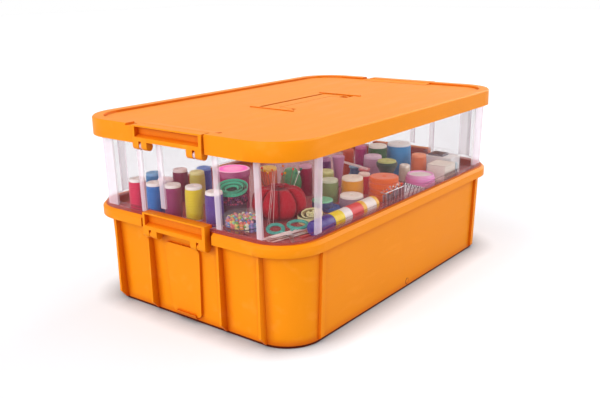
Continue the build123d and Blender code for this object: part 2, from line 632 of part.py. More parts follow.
def make_lid():
    body = slab(LID_LENGTH, LID_WIDTH, SKIRT_DEPTH, LID_CORNER, SKIRT_BOTTOM)
    body = chamfer(body.faces().sort_by(Axis.Z)[-1].edges(), LID_EDGE_BREAK)
    length = LID_LENGTH - 2 * RIM_BAND
    width = LID_WIDTH - 2 * RIM_BAND
    corner = LID_CORNER - RIM_BAND
    body -= slab(length, width, PANEL_DROP + TINY, corner, PANEL_TOP)
    groove = slab(length, width, GROOVE_DEPTH, corner, PANEL_TOP - GROOVE_DEPTH)
    groove -= slab(length - 2 * RIM_GROOVE, width - 2 * RIM_GROOVE, GROOVE_DEPTH, corner - RIM_GROOVE,
                   PANEL_TOP - GROOVE_DEPTH)
    body -= groove
    inside = LID_CORNER - LID_WALL
    body -= slab(LID_LENGTH - 2 * LID_WALL, LID_WIDTH - 2 * LID_WALL, PANEL_UNDER - SKIRT_BOTTOM, inside,
                 SKIRT_BOTTOM)
    channel = slab(LID_LENGTH - 2 * LID_WALL, LID_WIDTH - 2 * LID_WALL, PANEL_DROP, inside, PANEL_UNDER)
    channel -= slab(length + 2 * LID_WALL, width + 2 * LID_WALL, PANEL_DROP, corner + LID_WALL, PANEL_UNDER)
    body -= channel
    floor_z = PANEL_TOP - WELL_DEPTH
    body += well_block(LID_WALL, floor_z - LID_WALL, PANEL_TOP)
    body -= well_block(0, floor_z, LID_TOP)
    top, hollow = island()
    body += top
    body -= hollow
    middle = (WELL_FAR_Y + WELL_NEAR_Y) / 2
    for end in ENDS:
        lip_x = end * (WELL_LENGTH / 2)
        body += block(lip_x, lip_x + end * WELL_LIP_WIDTH, middle - WELL_LIP_LENGTH / 2,
                      middle + WELL_LIP_LENGTH / 2, PANEL_UNDER, PANEL_TOP + WELL_LIP_HEIGHT)
        body += block(lip_x, lip_x + end * (PIN_GRIP + LID_WALL), PIVOT_Y - 2 * PIN_RADIUS,
                      PIVOT_Y + 2 * PIN_RADIUS, floor_z - LID_WALL, PANEL_UNDER)
        body -= rod_x(PIVOT_Y, PIVOT_Z, PIN_RADIUS + PIN_FIT / 2, lip_x, lip_x + end * PIN_GRIP)
        body += latch_ramp(end)
        break_y = UPPER_HALF + LATCH_GAP + RIM_BREAK
        body -= block(end * (LID_LENGTH / 2 - RIM_BAND - TINY), end * LID_LENGTH, UPPER_HALF, break_y,
                      PANEL_TOP, LID_TOP)
        notch = UPPER_HALF + LATCH_GAP
        body -= block(end * (UPPER_AXIS_X - LIP_REACH - LIP_GAP), end * LID_LENGTH, -notch, notch,
                      SKIRT_BOTTOM, LID_TOP)
    return body


# --- handle --------------------------------------------------------------------------------
def bail_arm(x0, x1):
    """One arm of the handle, from the rounded end at its pivot to the grip."""
    low_z = BAIL_TOP - BAIL_THICK
    far_y = WELL_FAR_Y - BAIL_SLOT - BAIL_GRIP / 2
    room = 2 * PIVOT_END_RADIUS
    arm = block(x0, x1, PIVOT_Y, far_y, low_z, BAIL_TOP)
    knuckle = rod_x(PIVOT_Y, PIVOT_Z, PIVOT_END_RADIUS, x0, x1)
    knuckle &= block(x0, x1, PIVOT_Y - room, PIVOT_Y + room, low_z, BAIL_TOP)
    return arm + knuckle


def make_handle():
    half = WELL_LENGTH / 2 - BAIL_GAP
    low_z = BAIL_TOP - BAIL_THICK
    far_y = WELL_FAR_Y - BAIL_SLOT
    grip = block(-half, half, far_y - BAIL_GRIP, far_y, low_z, BAIL_TOP)
    grip = fillet(grip.edges().filter_by(Axis.Z).sort_by(Axis.Y)[-2:], BAIL_CORNER)
    body = grip
    for end in ENDS:
        body += bail_arm(end * half, end * (half - BAIL_ARM))
    body -= block(-half + BAIL_ARM, half - BAIL_ARM, far_y - BAIL_GRIP + BAIL_WALL, far_y - BAIL_WALL,
                  low_z - TINY, BAIL_TOP - BAIL_WALL)
    for end in ENDS:
        inner_x = end * (half - BAIL_ARM)
        body -= rod_x(PIVOT_Y, PIVOT_Z, PIN_RADIUS + PIN_FIT, end * half, inner_x)
    thumb_x = half - BAIL_ARM
    thumb_y = PIVOT_Y + PIVOT_END_RADIUS
    return body - block(thumb_x, thumb_x + THUMB_WIDTH, thumb_y - THUMB_LENGTH, thumb_y,
                        PIVOT_Z + PIN_RADIUS / 2, BAIL_TOP)


def make_pins():
    half = WELL_LENGTH / 2
    inner = half - BAIL_GAP - BAIL_ARM + BAIL_WALL / 2
    return [rod_x(PIVOT_Y, PIVOT_Z, PIN_RADIUS, end * inner, end * (half + PIN_GRIP)) for end in ENDS]


# --- what lies in the tray -----------------------------------------------------------------
def round_bar(radius, height, bore=0.0):
    """An upright bar or ring cut as flats, standing on the XY plane."""
    sides = LARGE_SIDES if radius >= LARGE_ROUND else SMALL_SIDES
    with BuildSketch() as section:
        RegularPolygon(radius, sides)
        if bore:
            RegularPolygon(bore, SMALL_SIDES, mode=Mode.SUBTRACT)
    return extrude(section.sketch, height)


def at_place(place, shape, rise=0.0):
    """Moves a shape to a place measured from the near corner of the tray's floor."""
    return Pos(place[0] - FLOOR_LENGTH / 2, place[1] - FLOOR_WIDTH / 2, FLOOR_TOP + rise) * shape


def on_floor(item, shape, rise=0.0):
    """Stands a shape on the tray's floor, or so far above it, at an item's place."""
    return at_place((item.x, item.y), shape, rise)


def cap_depth(spool):
    return min(SPOOL_CAP, spool.height / 5)


def reel(spool):
    """A moulded reel: foot flange, core and cap."""
    rim = spool.radius - SPOOL_CAP_INSET
    cap = cap_depth(spool)
    shape = round_bar(rim, SPOOL_FOOT)
    shape += round_bar(SPOOL_CORE, spool.height)
    shape += Pos(0, 0, spool.height - cap) * round_bar(rim, cap)
    return on_floor(spool, shape)


def winding(spool):
    """The thread on a reel, a ring between its flanges."""
    height = spool.height - cap_depth(spool) - SPOOL_FOOT - 2 * WIND_GAP
    ring = round_bar(spool.radius, height, SPOOL_CORE + WIND_GAP)
    return on_floor(spool, ring, SPOOL_FOOT + WIND_GAP)


def wound_body(spool):
    """A wound spool whose reel is hidden, up to its cap."""
    return on_floor(spool, round_bar(spool.radius, spool.height - cap_depth(spool)))


def cap(spool):
    """The cap that shows on a spool whose reel is hidden."""
    depth = cap_depth(spool)
    return on_floor(spool, round_bar(spool.radius - SPOOL_CAP_INSET, depth), spool.height - depth)


def write_spools():
    for node, names in THREAD_NODES.items():
        windings = [winding(END_ROW[name]) for name in names if name in END_ROW]
        windings += [wound_body(MIDDLE_ROWS[name]) for name in names if name in MIDDLE_ROWS]
        if node == CONE_NODE:
            windings.append(lathed(CONE, ((CONE_TIP, 0), (CONE.radius, CONE.height)), SMALL_SIDES))
        write(windings, node)
    for node, names in REEL_NODES.items():
        reels = [reel(END_ROW[name]) for name in names if name in END_ROW]
        reels += [cap(MIDDLE_ROWS[name]) for name in names if name in MIDDLE_ROWS]
        write(reels, node)


def frustum(radius, next_radius, sides, low, high):
    """A bar cut as flats that tapers from one radius to another between two heights."""
    lean = (radius - next_radius) * math.cos(math.pi / sides)
    with BuildSketch(Plane.XY.offset(low)) as bottom:
        RegularPolygon(radius, sides)
    return extrude(bottom.sketch, high - low, taper=math.degrees(math.atan2(lean, high - low)))


def rounded_drum(radius, height, break_edge):
    """A drum whose upper edge is broken by a slope."""
    body = frustum(radius, radius, LARGE_SIDES, 0, height - break_edge)
    return body + frustum(radius, radius - break_edge, LARGE_SIDES, height - break_edge, height)


def write_drums():
    write([on_floor(TIN, round_bar(TIN.radius - JAR_WALL, TIN.height - TIN_LID))], "tin_body")
    write([on_floor(TIN, rounded_drum(TIN.radius, TIN_LID, JAR_WALL), TIN.height - TIN_LID)], "tin_lid")
    write([on_floor(BEADED_ROLL, round_bar(BEADED_ROLL.radius, BEADED_ROLL.height))], "beaded_roll")
    coil = round_bar(COIL_RADIUS, COIL_HEIGHT, COIL_BORE)
    write([on_floor(BEADED_ROLL, coil, BEADED_ROLL.height)], "ribbon_coil")
    shell_height = BEAD_JAR.height - JAR_LID
    fill = BEAD_JAR.radius - JAR_WALL
    shell = round_bar(BEAD_JAR.radius, shell_height)
    shell -= Pos(0, 0, JAR_WALL) * round_bar(fill, shell_height)
    write([on_floor(BEAD_JAR, shell)], "bead_jar")
    write([on_floor(BEAD_JAR, round_bar(fill - WIND_GAP, shell_height - JAR_WALL - WIND_GAP), JAR_WALL)],
          "beads")
    lid = rounded_drum(BEAD_JAR.radius, JAR_LID, JAR_LID - JAR_WALL)
    write([on_floor(BEAD_JAR, lid, shell_height)], "bead_jar_lid")
    tin_side = PINK_TIN.height - PINK_TIN_TOP
    write([on_floor(PINK_TIN, round_bar(PINK_TIN.radius, tin_side))], "pink_tin")
    write([on_floor(PINK_TIN, round_bar(PINK_TIN.radius - JAR_WALL, PINK_TIN_TOP), tin_side)], "pink_tin_top")
    write([on_floor(TAPE_ROLL, round_bar(TAPE_ROLL.radius, TAPE_ROLL.height, TAPE_BORE))], "tape_roll")
    write([on_floor(FLAT_DISC, round_bar(FLAT_DISC.radius, FLAT_DISC.height))], "blue_disc")
    write([on_floor(LEANING_DISC, round_bar(LEANING_DISC.radius, LEANING_DISC.height), FLAT_DISC.height)],
          "green_disc")
    layer = WOUND_STACK.height / WOUND_LAYERS
    stack = [
        on_floor(WOUND_STACK, round_bar(WOUND_STACK.radius - (count % 2) * WOUND_STEP, layer), count * layer)
        for count in range(WOUND_LAYERS)
    ]
    write([fused(stack)], "wound_stack")
    write([on_floor(PINE_ROLL, round_bar(PINE_ROLL.radius, PINE_ROLL.height - PINE_FACE))], "pine_roll")
    face = round_bar(PINE_ROLL.radius - JAR_WALL, PINE_FACE)
    write([on_floor(PINE_ROLL, face, PINE_ROLL.height - PINE_FACE)], "pine_roll_face")


def fused(shapes):
    whole = shapes[0]
    for shape in shapes[1:]:
        whole += shape
    return whole


def lathed(item, rings, sides):
    """A turned form through rings given as radius and height, cut as flats."""
    spans = zip(rings, rings[1:])
    return on_floor(item, fused([frustum(low[0], high[0], sides, low[1], high[1]) for low, high in spans]))


def write_soft():
    height = CUSHION.height
    cushion = lathed(
        CUSHION,
        (
            (CUSHION_FOOT, 0),
            (CUSHION_LOW, height / 3),
            (CUSHION.radius, height / 2),
            (CUSHION.radius, height * 2 / 3),
            (CUSHION_SHOULDER, height - CROWN_THICK),
        ),
        LARGE_SIDES,
    )
    write([cushion], "pincushion")
    with BuildSketch() as leaf:
        Polygon((0, -CROWN_RADIUS / 5), (CROWN_RADIUS, 0), (0, CROWN_RADIUS / 5), align=None)
    leaves = [
        Rot(0, 0, count * 360 / CROWN_LEAVES) * extrude(leaf.sketch, CROWN_THICK)
        for count in range(CROWN_LEAVES)
    ]
    write([on_floor(CUSHION, fused(leaves), height - CROWN_THICK)], "pincushion_crown")
    ball = MOSS_BALL.radius
    middle = MOSS_BALL.height / 2
    moss = lathed(MOSS_BALL, ((ball * 2 / 3, 0), (ball, middle / 2), (ball, middle * 3 / 2),
                              (ball * 2 / 3, MOSS_BALL.height)), SMALL_SIDES)
    write([moss], "moss_yarn")
    for stack, node in ((BOBBINS_BLUE, "bobbins_blue"), (BOBBINS_PINK, "bobbins_pink")):
        step = stack.height / BOBBIN_COUNT
        flange = step / 6
        discs = []
        for count in range(BOBBIN_COUNT):
            base = count * step
            discs.append(on_floor(stack, round_bar(stack.radius, flange), base))
            discs.append(on_floor(stack, round_bar(stack.radius - BOBBIN_WAIST, step - 2 * flange),
                                  base + flange))
            discs.append(on_floor(stack, round_bar(stack.radius, flange), base + step - flange))
        write([fused(discs)], node)


def heading(start, end):
    """Length and compass turn of the way from one place to another."""
    run_x, run_y = end[0] - start[0], end[1] - start[1]
    return math.hypot(run_x, run_y), math.degrees(math.atan2(run_y, run_x))


def bar_between(start, end, width, thick, sideways=0.0):
    """A flat bar on the XY plane from one place to another, set off to one side."""
    length, turn = heading(start, end)
    return Rot(0, 0, turn) * Pos(length / 2, sideways, thick / 2) * Box(length, width, thick)


def blade(rise, side):
    """A tapering scissor blade from behind the screw to the tip, straight on one side."""
    length, turn = heading(SCISSOR_PIVOT, SCISSOR_TIP)
    half = BLADE_WIDTH / 2
    with BuildSketch() as outline:
        Polygon((-half, -half), (length * 2 / 3, -half * side), (length, 0),
                (length * 2 / 3, half * -side), (-half, half), align=None)
    return at_place(SCISSOR_PIVOT, Rot(0, 0, turn) * extrude(outline.sketch, BLADE_THICK), rise)


def scissor_handles():
    """Two finger loops and their shanks, which end at a clear round the screw."""
    hub = at_place(SCISSOR_PIVOT, round_bar(HUB_RADIUS, LOOP_THICK))
    halves = []
    for loop in LOOP_PLACES:
        half = at_place(loop, round_bar(LOOP_RADIUS, LOOP_THICK))
        half += at_place(loop, bar_between(loop, SCISSOR_PIVOT, SHANK_WIDTH, LOOP_THICK))
        half -= at_place(loop, round_bar(LOOP_BORE, LOOP_THICK))
        halves.append(half - hub)
    return fused(halves)


def tweezer_pair(ends):
    """Two springy arms side by side, joined at the far end."""
    offset = (TWEEZER_GAP + TWEEZER_WIDTH) / 2
    shape = bar_between(*ends, TWEEZER_WIDTH, TWEEZER_THICK, offset)
    shape += bar_between(*ends, TWEEZER_WIDTH, TWEEZER_THICK, -offset)
    length, turn = heading(*ends)
    joint = Pos(length - TWEEZER_WIDTH, 0, TWEEZER_THICK / 2)
    return shape + Rot(0, 0, turn) * joint * Box(2 * TWEEZER_WIDTH, TWEEZER_GAP * 2, TWEEZER_THICK)


def write_tools():
    write([scissor_handles()], "scissor_handles")
    write([blade(0, 1 / 3)], "scissor_blade_lower")
    write([blade(BLADE_THICK, 2 / 3)], "scissor_blade_upper")
    screw = round_bar(SCREW_RADIUS, LOOP_THICK - 2 * BLADE_THICK - WIND_GAP)
    write([at_place(SCISSOR_PIVOT, screw, 2 * BLADE_THICK)], "scissor_screw")
    write([at_place(TWEEZER_ENDS[0], tweezer_pair(TWEEZER_ENDS), LOOP_THICK)], "tweezers")
    write([at_place(LONG_TWEEZER_ENDS[0], tweezer_pair(LONG_TWEEZER_ENDS), BOBBINS_BLUE.height)],
          "long_tweezers")


def lying_tube(x0, x1, radius):
    """A stretch of the glue tube, which lies along the near long wall."""
    stretch = Rot(0, 90, 0) * round_bar(radius, x1 - x0)
    return at_place((x0, TUBE_Y), stretch, TUBE_RADIUS)


def write_boxes():
    write([lying_tube(TUBE_CAP_X, TUBE_BODY_X, TUBE_RADIUS)], "glue_cap")
    write([lying_tube(TUBE_BODY_X, TUBE_END_X, TUBE_RADIUS)], "glue_tube")
    case = Pos(0, 0, PIN_CASE.height / 2) * Box(2 * PIN_CASE.radius, PIN_CASE_WIDTH, PIN_CASE.height)
    write([on_floor(PIN_CASE, Rot(0, 0, PIN_CASE_TURN) * case)], "pin_case")
    for node, middle, size in (
        ("pin_card", PIN_CARD_MIDDLE, PIN_CARD_SIZE),
        ("cream_box", CREAM_BOX_MIDDLE, CREAM_BOX_SIZE),
        ("blue_box", BLUE_BOX_MIDDLE, BLUE_BOX_SIZE),
    ):
        write([at_place(middle, Pos(0, 0, size[2] / 2) * Box(*size))], node)
    length, width, height = NEEDLE_BOX_SIZE
    cover = Pos(0, 0, height / 2) * Box(length, width, height)
    inside = Box(length - 2 * NEEDLE_BOX_WALL, width - 2 * NEEDLE_BOX_WALL, height - NEEDLE_BOX_WALL)
    cover -= Pos(0, 0, (height - NEEDLE_BOX_WALL) / 2) * inside
    write([at_place(NEEDLE_BOX_MIDDLE, cover)], "needle_box")


os.makedirs("parts", exist_ok=True)
write([make_tub()], "base_tub")
write([make_tray()], "clear_tray")
write([make_lid()], "lid")
write([make_handle()], "handle")
write(make_pins(), "handle_pins")
upper_latch = make_latch(UPPER_HALF, UPPER_RISE)
lower_latch = make_latch(LOWER_HALF, LOWER_RISE)
for end, side in zip(ENDS, ("near", "far")):
    turn = Rot(0, 0, 0 if end > 0 else 180)
    write([Pos(end * UPPER_AXIS_X, 0, UPPER_AXIS_Z) * turn * upper_latch], f"latch_upper_{side}")
    lower_place = Pos(end * LOWER_AXIS_X, -end * LOWER_SHIFT, LOWER_AXIS_Z)
    write([lower_place * turn * lower_latch], f"latch_lower_{side}")
write_spools()
write_drums()
write_soft()
write_tools()
write_boxes()
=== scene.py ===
# %% [markdown]
# A two-storey sewing box: an orange tub, a clear tray full of thread and notions, and an orange
# lid with a folding handle. The measured parts come from the frame. What follows dresses them:
# finishes for the moulded parts, and meshes for the thread, the soft things and the small tools.
# Places are in metres, so a millimetre has a name.

# %% Load the frame
import random
from math import cos, pi, radians, sin, tau

import bpy
from mathutils import Matrix, Vector


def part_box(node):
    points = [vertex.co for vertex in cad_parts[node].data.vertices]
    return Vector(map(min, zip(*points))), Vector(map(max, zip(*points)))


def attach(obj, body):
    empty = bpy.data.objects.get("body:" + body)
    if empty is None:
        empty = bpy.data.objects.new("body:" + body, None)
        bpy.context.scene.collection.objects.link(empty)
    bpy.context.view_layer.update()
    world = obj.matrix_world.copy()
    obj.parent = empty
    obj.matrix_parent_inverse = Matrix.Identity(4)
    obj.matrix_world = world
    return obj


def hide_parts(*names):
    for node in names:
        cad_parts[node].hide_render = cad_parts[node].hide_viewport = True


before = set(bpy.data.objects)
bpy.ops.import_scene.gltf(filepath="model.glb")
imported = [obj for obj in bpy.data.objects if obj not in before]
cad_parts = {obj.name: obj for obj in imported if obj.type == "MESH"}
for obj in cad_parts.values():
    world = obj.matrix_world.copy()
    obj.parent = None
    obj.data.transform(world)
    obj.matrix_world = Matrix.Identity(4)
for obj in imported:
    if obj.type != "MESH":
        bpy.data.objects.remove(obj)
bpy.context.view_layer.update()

MM = 0.001
scene = bpy.context.scene

# %% [markdown]
# The camera stands a little above the lid's height, off the near corner, and looks slightly
# down. A camera looks along its own -Z axis with +Y up, so its turn is written as the three
# directions of its axes, which is exact and needs no target.

# %% Camera
CAMERA_PLACE = Vector((-0.75321, -0.57126, 0.36120))
CAMERA_RIGHT = Vector((0.61038611, -0.79194941, -0.01565028))
CAMERA_UP = Vector((0.22851242, 0.1571368, 0.96077578))
CAMERA_LENS, SENSOR_WIDTH, NEAREST_SEEN = 44.853, 36.0, 0.01


def put(name, data):
    """An object that holds some data, linked into the scene."""
    thing = bpy.data.objects.new(name, data)
    scene.collection.objects.link(thing)
    return thing


def place_camera():
    lens = bpy.data.cameras.new("camera")
    lens.lens, lens.sensor_width, lens.clip_start = CAMERA_LENS, SENSOR_WIDTH, NEAREST_SEEN
    back = CAMERA_RIGHT.cross(CAMERA_UP)
    turn = Matrix((CAMERA_RIGHT, CAMERA_UP, back)).transposed().to_4x4()
    scene.camera = put("camera", lens)
    scene.camera.matrix_world = Matrix.Translation(CAMERA_PLACE) @ turn
    print("camera at", tuple(round(v, 3) for v in CAMERA_PLACE))


place_camera()

# %% [markdown]
# Shader maths reads best as arithmetic. Signal wraps one output socket, and its operators add
# Math nodes. Nodes holds a node tree, and its node() adds every node, with its settings first
# and its sockets after. Finish is a material with its Principled shader. What varies over a
# surface goes into the colour, the roughness, the alpha or the bump; plain numbers are set.

# %% Signals and finishes
def act(operation, swapped=False):
    """An operator that adds one Math node; a swapped one has the signal on its right."""
    def apply(self, other=0.0):
        values = {0: other, 1: self} if swapped else {0: self, 1: other}
        return self.nodes.node("ShaderNodeMath", {"operation": operation}, values)
    return apply


class Signal:
    def __init__(self, nodes, socket):
        self.nodes = nodes
        self.socket = socket

    __add__, __radd__ = act("ADD"), act("ADD", True)
    __sub__, __rsub__ = act("SUBTRACT"), act("SUBTRACT", True)
    __mul__, __rmul__ = act("MULTIPLY"), act("MULTIPLY", True)
    __pow__, __gt__ = act("POWER"), act("GREATER_THAN")
    size, wave, or_more = act("ABSOLUTE"), act("SINE"), act("MAXIMUM")

    def part(self, axis):
        return self.nodes.node("ShaderNodeSeparateXYZ", {}, {0: self}, "XYZ".index(axis))


class Nodes:
    def __init__(self, tree):
        self.tree = tree

    def node(self, kind, settings=None, sockets=None, output=0):
        node = self.tree.nodes.new(kind)
        for key, value in (settings or {}).items():
            setattr(node, key, value)
        for key, value in (sockets or {}).items():
            if isinstance(value, Signal):
                self.tree.links.new(value.socket, node.inputs[key])
            else:
                node.inputs[key].default_value = value
        return Signal(self, node.outputs[output])

    def seen(self):
        """1 for rays from the camera, from mirrors and through clear plastic; 0 for others."""
        rays = [self.node("ShaderNodeLightPath", output=index) for index in (0, 3, 6)]
        return rays[0].or_more(rays[1]).or_more(rays[2])


class Finish(Nodes):
    def __init__(self, name, colour, **constants):
        self.material = bpy.data.materials.new(name)
        self.material.use_nodes = True
        super().__init__(self.material.node_tree)
        self.shader = self.tree.nodes["Principled BSDF"]
        self.colour = colour
        for key, value in {"Base Color": (*colour, 1.0), **constants}.items():
            self.shader.inputs[key.replace("_", " ")].default_value = value

    def place(self):
        return self.node("ShaderNodeTexCoord", output=3)

    def wrap(self):
        return self.node("ShaderNodeTexCoord", output=2)

    def noise(self, scale, detail=3.0, stretch=None):
        where = self.place()
        if stretch:
            scaled = {0: where, 1: stretch}
            where = self.node("ShaderNodeVectorMath", {"operation": "MULTIPLY"}, scaled)
        sockets = {"Vector": where, "Scale": scale, "Detail": detail}
        return self.node("ShaderNodeTexNoise", {}, sockets)

    def open_air(self, reach, samples=6):
        """1 where nothing stands near the surface, less where it is folded close on itself."""
        settings, sockets = {"samples": samples}, {"Distance": reach}
        return self.node("ShaderNodeAmbientOcclusion", settings, sockets, output=1)

    def edge_on(self, blend):
        return self.node("ShaderNodeLayerWeight", {}, {"Blend": blend}, output=1)

    def mix(self, share, first, second):
        ends = {0: share}
        for key, value in ((6, first), (7, second)):
            ends[key] = value if isinstance(value, Signal) else (*value, 1.0)
        return self.node("ShaderNodeMix", {"data_type": "RGBA"}, ends, output=2)

    def tones(self, share, low, high):
        """The finish's own colour, from darker to lighter."""
        return self.mix(share, shade(self.colour, low), shade(self.colour, high))

    def feed(self, socket, signal):
        self.tree.links.new(signal.socket, self.shader.inputs[socket])

    def bump(self, height, depth, strength=1.0):
        sockets = {"Height": height, "Distance": depth, "Strength": strength}
        self.feed("Normal", self.node("ShaderNodeBump", {}, sockets))


def tint(*screen):
    """A colour given as screen values from 0 to 255, turned into linear light."""
    return tuple((value / 255.0) ** 2.2 for value in screen)


def shade(colour, factor):
    return tuple(min(1.0, value * factor) for value in colour)


# %% [markdown]
# The orange parts are injection-moulded polypropylene: satin, a little waxy, very even in
# colour, with faint flow marks and handling scuffs. A broad noise shifts the colour by a few
# hundredths, a finer stretched one roughens patches, and a fine grain is only felt as bump. Where
# the moulding is folded close on itself, the colour is painted a deeper orange: painted shade for
# the light that bounces from orange to orange there. The step at the tub's foot is painted dark
# as its shadow, and low on the long side a small ring marks the gate where the plastic came in.

# %% Orange plastic
ORANGE = tint(222, 129, 4)
CREASE_SHADE_ORANGE = tint(190, 66, 4)
WORN_ORANGE = tint(255, 170, 84)
FOOT_SHADE = tint(84, 30, 8)
GATE_SHADE = tint(140, 52, 6)
FOLD_REACH = 12.0 * MM
FOOT_STEP = 3.2 * MM
GATE_X, GATE_Z, GATE_RADIUS, GATE_LINE = 3.5 * MM, 8.2 * MM, 3.6 * MM, 0.9 * MM
LONG_SIDE_Y = -0.12


def orange_plastic():
    finish = Finish("orange_plastic", ORANGE, Specular_IOR_Level=0.13)
    flow = finish.noise(9.0, 4.0, (1.0, 1.6, 0.7))
    scuffs = finish.noise(60.0, 5.0, (0.25, 1.0, 1.0))
    colour = finish.tones(flow * 0.8, 0.95, 1.05)
    worn = ((scuffs - 0.56) * 1.4).or_more(0.0)
    worn_colour = finish.mix(worn * 0.5, colour, WORN_ORANGE)
    # Painted shade: the colour turns a deeper orange where the moulding folds close on itself.
    open_air = finish.open_air(FOLD_REACH)
    # Painted shadow: the step at the tub's foot is coloured dark.
    foot = FOOT_STEP - finish.place().part("Z") > 0.0
    shaded = finish.mix(open_air ** 1.8, CREASE_SHADE_ORANGE, worn_colour)
    across = finish.place().part("X") - GATE_X
    up = finish.place().part("Z") - GATE_Z
    off_ring = ((across * across + up * up) ** 0.5 - GATE_RADIUS).size()
    ring = (GATE_LINE - off_ring > 0.0) * (LONG_SIDE_Y - finish.place().part("Y") > 0.0)
    gate = ring * (0.85 - (across > 0.0) * 0.55)
    low = finish.mix(foot, shaded, FOOT_SHADE)
    finish.feed("Base Color", finish.mix(gate, low, GATE_SHADE))
    finish.feed("Roughness", 0.40 + scuffs * 0.16)
    finish.bump(finish.noise(900.0, 2.0) + scuffs * 0.6, 0.12 * MM, 0.35)
    return finish.material


# %% [markdown]
# The tray is clear polystyrene. Refraction through thin walls mostly just darkens what stands
# behind them, so the wall is a faint see-through film instead: its alpha grows towards grazing
# angles, where clear plastic mirrors most, and again on the ribs and the ledge, where the wall
# is thicker. The ribs are painted pale where they face the viewer, a painted highlight, and mauve
# where they turn away, a painted shade. The floor and the ledge are tinted from coral at one end
# to mauve at the other and glow faintly in that tint: painted light for the orange light carried
# in from the tub.

# %% Clear plastics
CLEAR = tint(124, 80, 86)
CLEAR_RIB_HIGHLIGHT = tint(255, 248, 252)
CLEAR_SHADE = tint(218, 176, 198)
FLOOR_CORAL_LIGHT = tint(182, 94, 100)
FLOOR_MAUVE_LIGHT = tint(176, 112, 114)
BLACK = (0.0, 0.0, 0.0)
TRAY_LEAN = 2.5 * MM
TRAY_WALL_X = 225.8 * MM
TRAY_WALL_Y = 145.8 * MM
LYING_TOP, LEDGE_TOP, LEDGE_EDGE = 112.0 * MM, 120.4 * MM, 122.0 * MM
RIB_ALPHA, LEDGE_ALPHA, LYING_ALPHA, FLAT_CUT = 0.33, 0.30, 0.22, 0.75
PAINTED_GLOW_SHARE = 0.20


def clear_film(name, colour, base, rim, **constants):
    finish = Finish(name, colour, Roughness=0.07, Specular_IOR_Level=0.6, **constants)
    facing = finish.edge_on(0.35)
    cloud = finish.noise(14.0, 3.0)
    return finish, base + (facing ** 3.0) * rim + cloud * base * 0.8


def tray_plastic():
    finish, film = clear_film("clear_tray_plastic", CLEAR, 0.060, 0.30, Emission_Strength=1.0)
    low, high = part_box("clear_tray")
    where = finish.place()
    lean = (where.part("Z") - low[2]) * (TRAY_LEAN / (high[2] - low[2]))
    past_end = where.part("X").size() - lean > TRAY_WALL_X
    past_side = where.part("Y").size() - lean > TRAY_WALL_Y
    rib = past_end.or_more(past_side) * (where.part("Z") > LEDGE_TOP)
    upright = finish.node("ShaderNodeNewGeometry", output=1).part("Z").size()
    flat = upright > 0.7
    ledge = flat * (LEDGE_EDGE - where.part("Z") > 0.0)
    lying = flat * (LYING_TOP - where.part("Z") > 0.0)
    # Painted highlight and shade: ribs are pale where they face the viewer and mauve where they
    # turn away.
    rib_colour = finish.mix(finish.edge_on(0.62), CLEAR_RIB_HIGHLIGHT, CLEAR_SHADE)
    walls = finish.mix(rib, CLEAR, rib_colour)
    # Painted light: the floor and ledge are tinted from coral at the near end to mauve at the far
    # end.
    along_tray = where.part("X") * 2.4 + 0.62
    floor = finish.mix(along_tray, FLOOR_CORAL_LIGHT, FLOOR_MAUVE_LIGHT)
    finish.feed("Base Color", finish.mix(ledge, walls, floor))
    # Painted light: the floor and ledge glow faintly in that tint, though they are no lamp.
    carried = finish.mix(1.0 - PAINTED_GLOW_SHARE, floor, BLACK)
    finish.feed("Emission Color", finish.mix(ledge, BLACK, carried))
    alpha = (film + rib * RIB_ALPHA) * (1.0 - flat * FLAT_CUT)
    finish.feed("Alpha", alpha + ledge * LEDGE_ALPHA + lying * LYING_ALPHA)
    finish.bump(finish.noise(220.0, 2.0), 0.1 * MM, 0.25)
    return finish.material


def clear_case():
    finish, film = clear_film("clear_case_plastic", tint(226, 232, 236), 0.015, 0.34)
    finish.feed("Alpha", film)
    return finish.material


# %% [markdown]
# Small metal parts are plain steel. Fine lengthwise streaks in the roughness keep it from
# looking like chrome.

# %% Steel
def steel(name="tool_steel", colour=(0.62, 0.62, 0.63), roughness=0.24):
    finish = Finish(name, colour, Metallic=1.0)
    streaks = finish.noise(300.0, 3.0, (1.0, 0.2, 1.0))
    finish.feed("Roughness", roughness + streaks * 0.18)
    finish.feed("Base Color", finish.tones(streaks, 0.85, 1.1))
    return finish.material


# %% [markdown]
# Thread, ribbon, yarn and felt are soft, so they get sheen and no hard shine. Wound thread is
# many parallel strands: the mesh carries the turns, and the bump adds the strands between them,
# laid at a slight slope by adding the way round to the way up. Felt is darkened where it folds
# close on itself: painted shade.

# %% Textiles
def textile(name, colour, strands=130.0, slope=3.0):
    finish = Finish(name, tint(*colour), Roughness=0.72, Sheen_Weight=0.35, Sheen_Roughness=0.4)
    around = finish.wrap()
    strand = ((around.part("Y") * strands + around.part("X") * slope) * tau).wave()
    fuzz = finish.noise(500.0, 4.0)
    finish.feed("Base Color", finish.tones(strand * 0.22 + fuzz * 0.6 + 0.1, 0.84, 1.3))
    finish.bump(strand * 0.5 + fuzz, 0.2 * MM, 0.6)
    return finish.material


def felt(name, colour, scale=420.0, fold=3.0 * MM):
    finish = Finish(name, tint(*colour), Roughness=0.85, Sheen_Weight=0.15, Sheen_Roughness=0.35)
    nap = finish.noise(scale, 5.0)
    blotch = finish.noise(60.0, 2.0)
    cloth = finish.tones(nap * 0.7 + blotch * 0.3, 0.75, 1.25)
    # Painted shade: the cloth turns dark where it folds close on itself.
    open_air = finish.open_air(fold)
    finish.feed("Base Color", finish.mix(open_air ** 1.6, shade(finish.colour, 0.22), cloth))
    finish.bump(nap, 0.3 * MM, 0.7)
    return finish.material


# %% [markdown]
# The notions' own plastics are glossier than the box. One recipe serves them all: a colour, a
# faint clouding, and a slightly uneven gloss.

